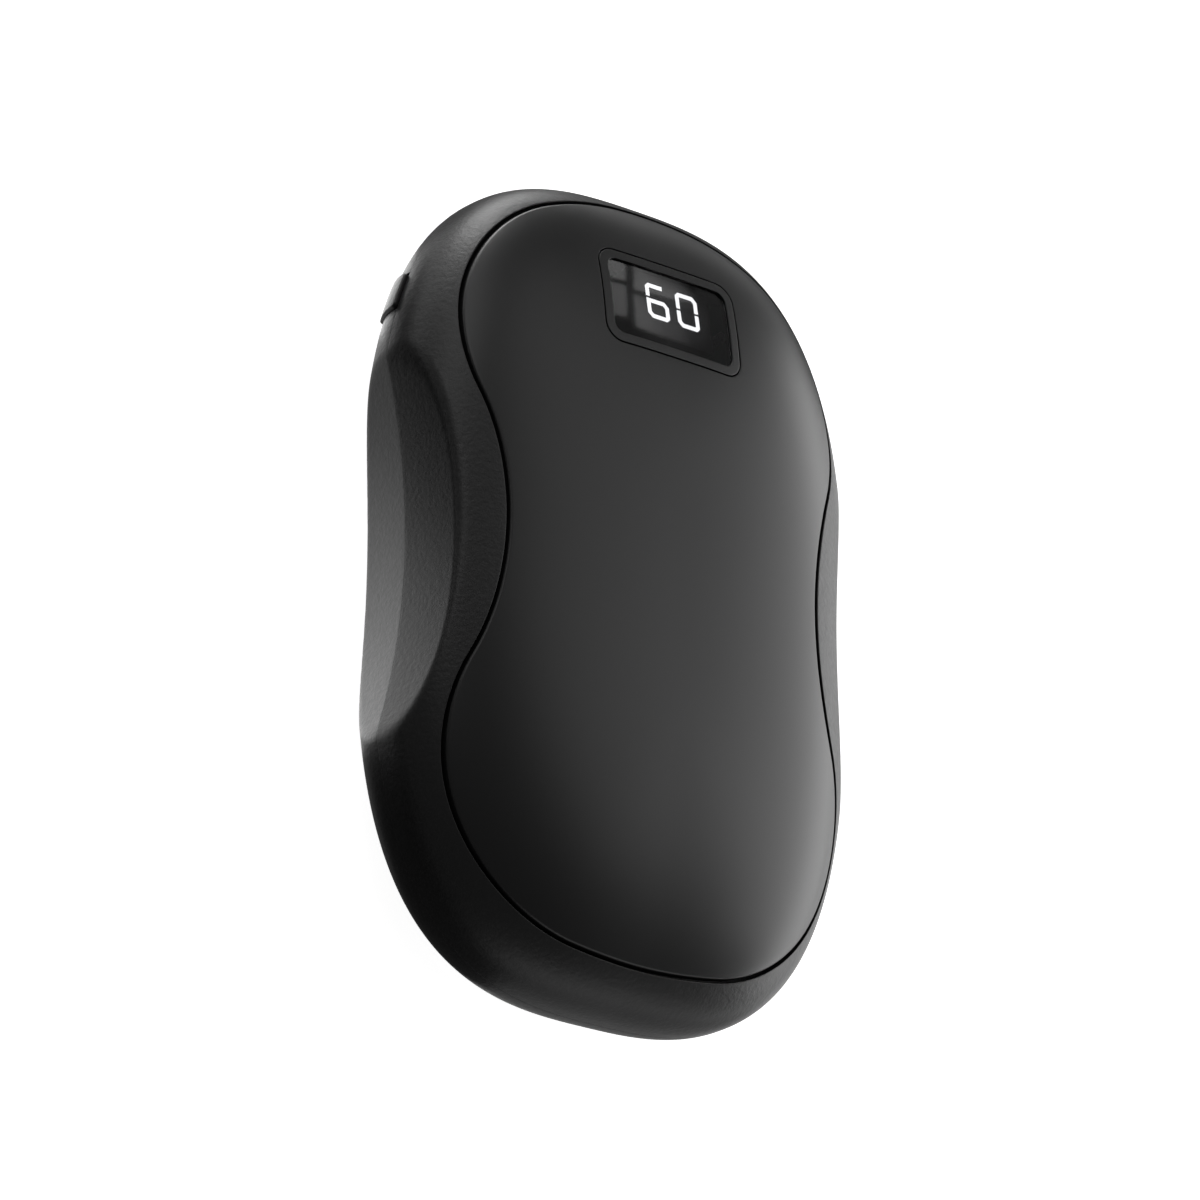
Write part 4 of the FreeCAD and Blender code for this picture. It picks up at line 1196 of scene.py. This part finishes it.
@dataclass
class PowerButton(SubAssembly):
    """Side button: pill cap, retaining flange and nub, with the hole that it moves in."""

    place: float = 31.55
    height: float = 10.6
    length: float = 5.8
    trim: float = 0.8
    width: float = 4.6
    corner: float = 0.6
    gap: float = 0.2
    proud: float = 0.45
    edge_round: float = 0.2
    flange_rim: float = 1.1
    flange_drop: float = 1.3
    flange_front: float = 2.5
    flange_back: float = 3.3
    nub_radius: float = 1.2
    nub_end: float = 5.8
    hole_reach: float = 2.0
    hole_rise: float = 1.0
    round_rows: int = 8
    face_steps: tuple[float, ...] = (0.75, 0.5, 0.25, 0.0)

    @property
    def base(self) -> Array:
        """Point of the wall's outline at the button's middle.

        Returns:
            The point.
        """
        power = PEBBLE.outline_power
        x = -PEBBLE.half_width * (1.0 - (self.place / PEBBLE.half_length) ** power) ** (1.0 / power)
        return np.array([x, self.place, self.height])

    @property
    def out(self) -> Array:
        """Direction out of the wall.

        Returns:
            The direction, of length one.
        """
        power = PEBBLE.outline_power
        slope = np.array([
            -abs(self.base[0]) ** (power - 1.0) / PEBBLE.half_width ** power,
            self.place ** (power - 1.0) / PEBBLE.half_length ** power,
            0.0,
        ])
        return slope / np.linalg.norm(slope)

    @staticmethod
    def inside(point: Array) -> Array:
        """Whether points lie inside the plain form of the back.

        Args:
            point: The points.

        Returns:
            True for each point inside.
        """
        angle = np.arctan2(point[:, 1], point[:, 0])
        share = (PEBBLE.parting - point[:, 2]) / PEBBLE.back_depth
        return np.hypot(point[:, 0], point[:, 1]) < PEBBLE.radius(angle, share, Side.BACK)

    def raised(self, ring: Array, lift: float) -> Array:
        """Points above or below the wall, along the outward direction.

        Args:
            ring: Points of the button's own plane, along the wall and up.
            lift: Height above the wall, negative below it.

        Returns:
            The points in the warmer's frame.
        """
        low = np.full(len(ring), -PEBBLE.half_width / 2.0)
        high = np.full(len(ring), PEBBLE.wall)
        wall = halved(low, high, lambda depth: self.inside(self.placed(ring, depth)))
        return self.placed(ring, wall + lift)

    def placed(self, ring: Array, depth: Array | float) -> Array:
        """Points of the button's own plane, moved out of it.

        Args:
            ring: The points, along the wall and up.
            depth: How far each is moved out.

        Returns:
            The points in the warmer's frame.
        """
        along = np.array([-self.out[1], self.out[0], 0.0])
        up = np.array([0.0, 0.0, 1.0])
        depth = np.broadcast_to(depth, len(ring))[:, None]
        return self.base + ring[:, :1] * along + ring[:, 1:] * up + depth * self.out

    def outline(self, grow: float = 0.0) -> Array:
        """Pill outline of the cap, trimmed at the end toward the scoop.

        Args:
            grow: How far the outline is moved out.

        Returns:
            The points as rows along the wall and up.
        """
        half = (self.length - self.trim) / 2.0
        pill = RoundedFrame(half, self.width / 2.0, self.corner, -self.trim / 2.0, 0.0)
        return pill.points(-grow)

    def hole(self) -> Piece:
        """Cutter of the hole in the rear shell's wall.

        Returns:
            A closed prism.
        """
        ring = self.outline(self.gap)
        ring[:, 1] += np.where(ring[:, 1] > 0.0, self.hole_rise, 0.0)
        centre = np.zeros_like(ring)
        out = self.hole_reach
        back = -self.flange_back
        ends = ((centre, out), (ring, out), (ring, back), (centre, back))
        return skin_mesh("button_hole", np.stack([self.placed(*end) for end in ends]), close_rows=False)

    def cap(self) -> Piece:
        """Button with its face curved like the wall that it stands in.

        Returns:
            The piece.
        """
        pill = self.outline()
        rim = self.outline(self.flange_rim)
        rim[:, 1] = np.clip(rim[:, 1], -self.flange_drop, PEBBLE.parting - self.height)
        turn = np.arctan2(pill[:, 1], pill[:, 0])
        nub = self.nub_radius * np.stack([np.cos(turn), np.sin(turn)], axis=1)
        rows = [
            self.placed(0.0 * nub, -self.nub_end),
            self.placed(nub, -self.nub_end),
            self.placed(nub, -self.flange_back),
            self.raised(rim, -self.flange_back),
            self.raised(rim, -self.flange_front),
            self.raised(pill, -self.flange_front),
        ]
        for step in np.linspace(0.0, QUARTER, self.round_rows):
            ring = self.outline(-self.edge_round * (1.0 - math.cos(step)))
            rows.append(self.raised(ring, self.proud - self.edge_round * (1.0 - math.sin(step))))
        face = self.outline(-self.edge_round)
        rows += [self.raised(face * share, self.proud) for share in self.face_steps]
        piece = skin_mesh("button_cap", np.stack(rows), close_rows=False)
        return self.dress(piece, BUTTON_BODY, "button", "power_button")


@dataclass
class ChargingSocket(SubAssembly):
    """Receptacle in the display end, its tongue and contacts."""

    width: float = 8.94
    tall: float = 3.26
    corner: float = 1.5
    depth: float = 7.3
    skin: float = 0.3
    mouth: float = 49.0
    base: float = 9.0
    gap: float = 0.15
    side_count: int = 12
    mouth_rows: int = 9
    back_cut: float = 0.12
    slot_reach: float = 2.0
    tongue_size: Point = (6.7, 4.5, 0.7)
    tongue_bevel: float = 0.12
    contacts: int = 12
    contact_size: Point = (0.26, 3.4, 0.06)
    contact_shift: float = 0.3
    contact_bevel: float = 0.015
    bevel_segments: int = 2
    bevel_profile: float = 0.5

    @property
    def height(self) -> float:
        """Height of the socket's middle."""
        return self.base + self.tall / 2.0

    def ring(self, inset: float, place: float) -> Array:
        """Points of the socket's outline at a place along Y.

        Args:
            inset: How far the outline is drawn in.
            place: The place.

        Returns:
            The points.
        """
        outline = RoundedFrame(self.width / 2.0, self.tall / 2.0, self.corner, side_count=self.side_count)
        flat = outline.points(inset)
        return np.column_stack([flat[:, 0], np.full(len(flat), place), flat[:, 1] + self.height])

    def middle(self, place: float) -> Array:
        """The socket's middle at a place along Y, once for each point of its outline."""
        return self.ring(0.0, place) * np.array([0.0, 1.0, 0.0]) + np.array([0.0, 0.0, self.height])

    def slot(self) -> Piece:
        """Cutter of the slot in the rear shell's wall.

        Returns:
            A closed prism.
        """
        start = self.mouth - self.depth
        end = self.mouth + self.slot_reach
        rows = [self.middle(start), self.ring(-self.gap, start), self.ring(-self.gap, end), self.middle(end)]
        return skin_mesh("socket_slot", np.stack(rows), close_rows=False)

    def can(self) -> Piece:
        """Drawn steel can with a rolled mouth and a closed back.

        Returns:
            The piece.
        """
        back = self.mouth - self.depth
        half = self.skin / 2.0
        rows = [self.middle(back), self.ring(self.back_cut, back), self.ring(0.0, back + self.back_cut)]
        for step in np.linspace(0.0, math.pi, self.mouth_rows):
            rows.append(self.ring(half * (1.0 - math.cos(step)), self.mouth - half + half * math.sin(step)))
        rows += [self.ring(self.skin, back + self.skin), self.middle(back + self.skin)]
        piece = skin_mesh("socket_can", np.stack(rows), close_rows=False)
        return self.dress(piece, HOUSING, "steel", "usb_receptacle")

    def block(self, name: str, size: Point, places: Sequence[Point], bevel: float) -> Piece:
        """Bevelled blocks of one size at some places, as one mesh.

        Args:
            name: Name of the piece.
            size: Width, length and height, in millimetres.
            places: Middles of the blocks, in millimetres.
            bevel: Width of the rounded edges.

        Returns:
            The piece.
        """
        shape = bmesh.new()
        for place in places:
            scale = Matrix.Diagonal((*(part * MM for part in size), 1.0))
            bmesh.ops.create_cube(shape, size=1.0, matrix=Matrix.Translation(Vector(place) * MM) @ scale)
        bmesh.ops.bevel(shape, geom=list(shape.edges), offset=bevel * MM, affect="EDGES",
                        segments=self.bevel_segments, profile=self.bevel_profile, material=-1)
        return finish_mesh(name, shape)

    def tongue(self) -> None:
        """Tongue with a row of contacts on each face."""
        width, length, tall = self.tongue_size
        place = self.mouth - self.depth + self.skin + length / 2.0
        middle = (0.0, place, self.height)
        piece = self.block("socket_tongue", self.tongue_size, [middle], self.tongue_bevel)
        self.dress(piece, HOUSING, "moulding", "usb_tongue")
        pitch = width / (self.contacts + 1)
        spots = []
        for number in range(self.contacts):
            x = (number + 1) * pitch - width / 2.0
            for face in (-1.0, 1.0):
                spots.append((x, place + self.contact_shift, self.height + face * tall / 2.0))
        pads = self.block("socket_contacts", self.contact_size, spots, self.contact_bevel)
        self.dress(pads, HOUSING, "steel", finish=GOLD_CONTACT)


@dataclass(frozen=True)
class SoftBox:
    """A lamp that faces the warmer: bearing and rise in degrees, sizes in metres, power in watts."""

    name: str
    bearing: float
    rise: float
    width: float
    height: float
    power: float


@dataclass(frozen=True)
class Card:
    """A flat card that only reflections see, in millimetres.

    Its brightness goes from one value at the side between the first and last corners to another
    at the far side.
    """

    name: str
    corners: tuple[Point, ...]
    near: float = 0.0
    far: float = 0.0


def laid(height: float, *places: tuple[float, float]) -> tuple[Point, ...]:
    """Corners of a card that lies level above the floor."""
    return tuple((x, y, height) for x, y in places)


@dataclass
class Studio:
    """Camera, light and floor."""

    floor_size: float = 6.0
    floor_share: float = 0.91
    floor_tone: float = 0.8
    world_tone: float = 0.15
    lamp_distance: float = 0.8
    lamps: tuple[SoftBox, ...] = (
        SoftBox("soft_box_right", 6.0, 8.0, 0.85, 0.30, 3.6),
        SoftBox("soft_box_end", 101.0, 7.0, 0.26, 0.30, 2.3),
        SoftBox("soft_box_far", 126.0, 8.0, 0.30, 0.30, 0.3),
        SoftBox("soft_box_upper_right", 10.0, 32.0, 0.55, 0.35, 1.4),
        SoftBox("soft_box_upper_far", 128.0, 42.0, 0.45, 0.35, 0.9),
        SoftBox("soft_box_over", 45.0, 58.0, 0.80, 0.35, 1.1),
        SoftBox("soft_box_front", 290.0, 8.0, 0.70, 0.35, 0.8),
    )
    cards: tuple[Card, ...] = (
        Card("flag_left", laid(0.3, (-600.0, -600.0), (-600.0, 60.0), (-60.0, 60.0), (-60.0, -600.0))),
        Card("flag_side", laid(0.4, (-60.0, 8.0), (-60.0, 60.0), (-34.0, 60.0), (-34.0, 40.0),
                               (-44.0, 30.0), (-42.0, 8.0))),
        Card("flag_low", laid(0.5, (-60.0, -140.0), (-60.0, -20.0), (-35.0, -20.0), (-28.0, -36.0),
                              (-10.0, -49.0), (-10.0, -140.0)), 0.08, 0.05),
        Card("flag_near_end", laid(0.5, (-10.0, -300.0), (-10.0, -49.0), (60.0, -49.0), (160.0, -300.0)),
             0.4, 0.5),
        Card("flag_far_end", laid(0.5, (-26.0, 46.0), (-34.0, 104.0), (14.0, 104.0), (90.0, 160.0),
                                  (130.0, 100.0), (60.0, 40.0)), 0.1, 0.3),
        Card("flag_far_right", laid(0.4, (130.0, 60.0), (130.0, 160.0), (1200.0, 1100.0), (1200.0, 500.0)),
             0.9, 0.9),
        Card("button_card", laid(0.7, (-33.0, 32.0), (-33.0, 46.0), (-24.0, 46.0), (-24.0, 32.0)), 3.5, 3.5),
        # Painted shade: a dim card, seen only in reflections, stands for the floor's shade under the body's
        # lower edge.
        Card("floor_shade_card", laid(0.5, (-35.0, -21.0), (-22.0, -21.0), (-14.0, -40.0), (-10.0, -49.0),
                                (-28.0, -36.0)), 0.2, 0.1),
        Card("scoop_card", laid(0.7, (-40.0, -19.0), (-37.0, 28.0), (-29.0, 28.0), (-29.0, -19.0)), 3.1, 0.7),
        Card("shoulder_card", laid(0.6, (-42.0, 105.0), (-260.0, 700.0), (70.0, 700.0), (14.0, 105.0)),
             8.0, 8.0),
        Card("pane_left_top", ((196.6, 355.5, 207.8), (218.2, 354.3, 187.6), (214.4, 319.2, 241.9),
                               (194.2, 320.2, 257.1)), 1.4, 1.35),
        Card("pane_left_low", ((194.3, 314.3, 263.5), (213.8, 313.0, 249.6), (209.3, 273.9, 290.9),
                               (193.5, 274.3, 301.1)), 1.15, 1.15),
        Card("pane_mid_top", ((226.1, 357.2, 172.8), (259.2, 350.3, 147.0), (255.9, 309.5, 218.7),
                              (220.9, 309.8, 247.2)), 1.25, 0.0),
        Card("pane_mid_low", ((220.4, 303.4, 254.7), (255.4, 301.8, 228.4), (254.2, 261.8, 269.1),
                              (216.8, 266.6, 291.5)), 1.2, 0.0),
    )
    turn: float = math.radians(38.667)
    tilt: float = math.radians(20.516)
    roll: float = math.radians(0.632)
    distance: float = 724.542
    target: Point = (0.0, 0.0, 13.1)
    focal: float = 6274.834
    centre: tuple[float, float] = (603.801, 610.412)
    picture: float = 1200.0
    sensor: float = 36.0
    clip_start: float = 0.01

    def axes(self) -> tuple[Vector, Vector, Vector]:
        """The camera's own directions.

        Returns:
            Right, up and back.
        """
        back = Vector((-math.sin(self.turn) * math.cos(self.tilt), -math.sin(self.tilt),
                       math.cos(self.turn) * math.cos(self.tilt)))
        up = Vector((0.0, 1.0, 0.0))
        up = (up - back * up.dot(back)).normalized()
        right = up.cross(back)
        rolled = (math.cos(self.roll) * right + math.sin(self.roll) * up,
                  math.cos(self.roll) * up - math.sin(self.roll) * right)
        return rolled[0], rolled[1], back

    def camera(self) -> None:
        """Camera at the photograph's viewing angle."""
        right, up, back = self.axes()
        data = bpy.data.cameras.new("view")
        data.sensor_width = self.sensor
        data.lens = self.focal / self.picture * self.sensor
        data.shift_x = (self.picture / 2.0 - self.centre[0]) / self.picture
        data.shift_y = (self.centre[1] - self.picture / 2.0) / self.picture
        data.clip_start = self.clip_start
        camera = bpy.data.objects.new("view", data)
        place = (Vector(self.target) + back * self.distance) * MM
        camera.matrix_world = Matrix.Translation(place) @ Matrix((right, up, back)).transposed().to_4x4()
        bpy.context.scene.collection.objects.link(camera)
        bpy.context.scene.camera = camera

    @staticmethod
    def bare_material(name: str) -> Material:
        """A material whose tree holds only its output.

        Args:
            name: Name of the material.

        Returns:
            The material.
        """
        material = bpy.data.materials.new(name)
        material.use_nodes = True
        nodes = material.node_tree.nodes
        nodes.remove(nodes["Principled BSDF"])
        return material

    def floor(self) -> None:
        """White floor that keeps some of the warmer's shadow."""
        shape = bmesh.new()
        bmesh.ops.create_grid(shape, x_segments=1, y_segments=1, size=self.floor_size / 2.0)
        piece = finish_mesh("floor", shape)
        material = self.bare_material("white_floor")
        tree = material.node_tree
        tone = self.floor_tone
        paint = wired(tree, "BsdfDiffuse", {"Color": (tone, tone, tone, 1.0)})
        path = wired(tree, "LightPath", {})
        seen = path.outputs["Is Camera Ray"]
        for name in ("Is Glossy Ray", "Is Transmission Ray"):
            seen = wired(tree, "Math", {0: seen, 1: path.outputs[name]}, "MAXIMUM").outputs[0]
        share = wired(tree, "Math", {0: seen, 1: self.floor_share}, "MULTIPLY").outputs[0]
        white = wired(tree, "Emission", {"Strength": share})
        both = wired(tree, "AddShader", {0: paint.outputs[0], 1: white.outputs[0]})
        connect(tree, tree.nodes["Material Output"], {"Surface": both.outputs[0]})
        piece.data.materials.append(material)

    def card_paint(self, card: Card) -> Material:
        """Paint of a card, whose brightness changes across it.

        Args:
            card: The card that the paint is for.

        Returns:
            The material.
        """
        paint = self.bare_material(card.name + "_paint")
        tree = paint.node_tree
        start = (Vector(card.corners[0]) + Vector(card.corners[-1])) * MM / 2.0
        run = (Vector(card.corners[1]) + Vector(card.corners[2])) * MM / 2.0 - start
        along = run / run.length_squared
        place = wired(tree, "TexCoord", {}).outputs["Object"]
        across = wired(tree, "VectorMath", {0: place, 1: along}, "DOT_PRODUCT").outputs["Value"]
        level = eased(tree, across, start.dot(along), (card.near, card.far))
        glow = wired(tree, "Emission", {"Strength": level})
        connect(tree, tree.nodes["Material Output"], {"Surface": glow.outputs[0]})
        return paint

    def shade(self) -> None:
        """Cards that keep the floor's white out of some reflections or add light to others."""
        for card in self.cards:
            shape = bmesh.new()
            shape.faces.new([shape.verts.new(Vector(corner) * MM) for corner in card.corners])
            item = finish_mesh(card.name, shape)
            item.data.materials.append(self.card_paint(card))
            item.visible_camera = False
            item.visible_diffuse = False
            item.visible_shadow = False
            item.visible_transmission = False

    def light(self) -> None:
        """Soft boxes and a dim even surround."""
        world = bpy.data.worlds.new("surround")
        world.use_nodes = True
        tone = self.world_tone
        world.node_tree.nodes["Background"].inputs["Color"].default_value = (tone, tone, tone, 1.0)
        bpy.context.scene.world = world
        for lamp in self.lamps:
            data = bpy.data.lights.new(lamp.name, "AREA")
            data.shape = "RECTANGLE"
            data.size = lamp.width
            data.size_y = lamp.height
            data.energy = lamp.power
            bearing = math.radians(lamp.bearing)
            rise = math.radians(lamp.rise)
            flat = math.cos(rise)
            away = Vector((flat * math.cos(bearing), flat * math.sin(bearing), math.sin(rise)))
            item = bpy.data.objects.new(lamp.name, data)
            place = Vector(self.target) * MM + away * self.lamp_distance
            item.matrix_world = Matrix.Translation(place) @ away.to_track_quat("Z", "Y").to_matrix().to_4x4()
            item.visible_camera = False
            bpy.context.scene.collection.objects.link(item)


def main() -> None:
    logging.basicConfig(level=logging.INFO)
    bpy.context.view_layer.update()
    shaders = Shaders()
    slots = {part["node"]: part["material_slot"] for part in frame["record"]["subparts"]}
    for name, node in frame["nodes"].items():
        node.data.materials.clear()
        node.data.materials.append(shaders.material(SLOT_FINISH[slots[name]]))
    display = Display(shaders)
    button = PowerButton(shaders)
    socket = ChargingSocket(shaders)
    shells = Shells(shaders)
    shells.front()
    shells.rear([button.hole(), socket.slot()])
    HeatPanel(shaders).build(display.window)
    display.bezel()
    display.lens()
    display.digits("lit_digits", display.lit_strokes(), "lit_segment", "lit_segments")
    display.digits("dark_digits", display.dark_strokes(), "dark_segment", "dark_segments")
    button.cap()
    socket.can()
    socket.tongue()
    studio = Studio()
    studio.camera()
    studio.floor()
    studio.shade()
    studio.light()
    bpy.context.scene.view_settings.view_transform = "Standard"


if __name__ == "__main__":
    main()
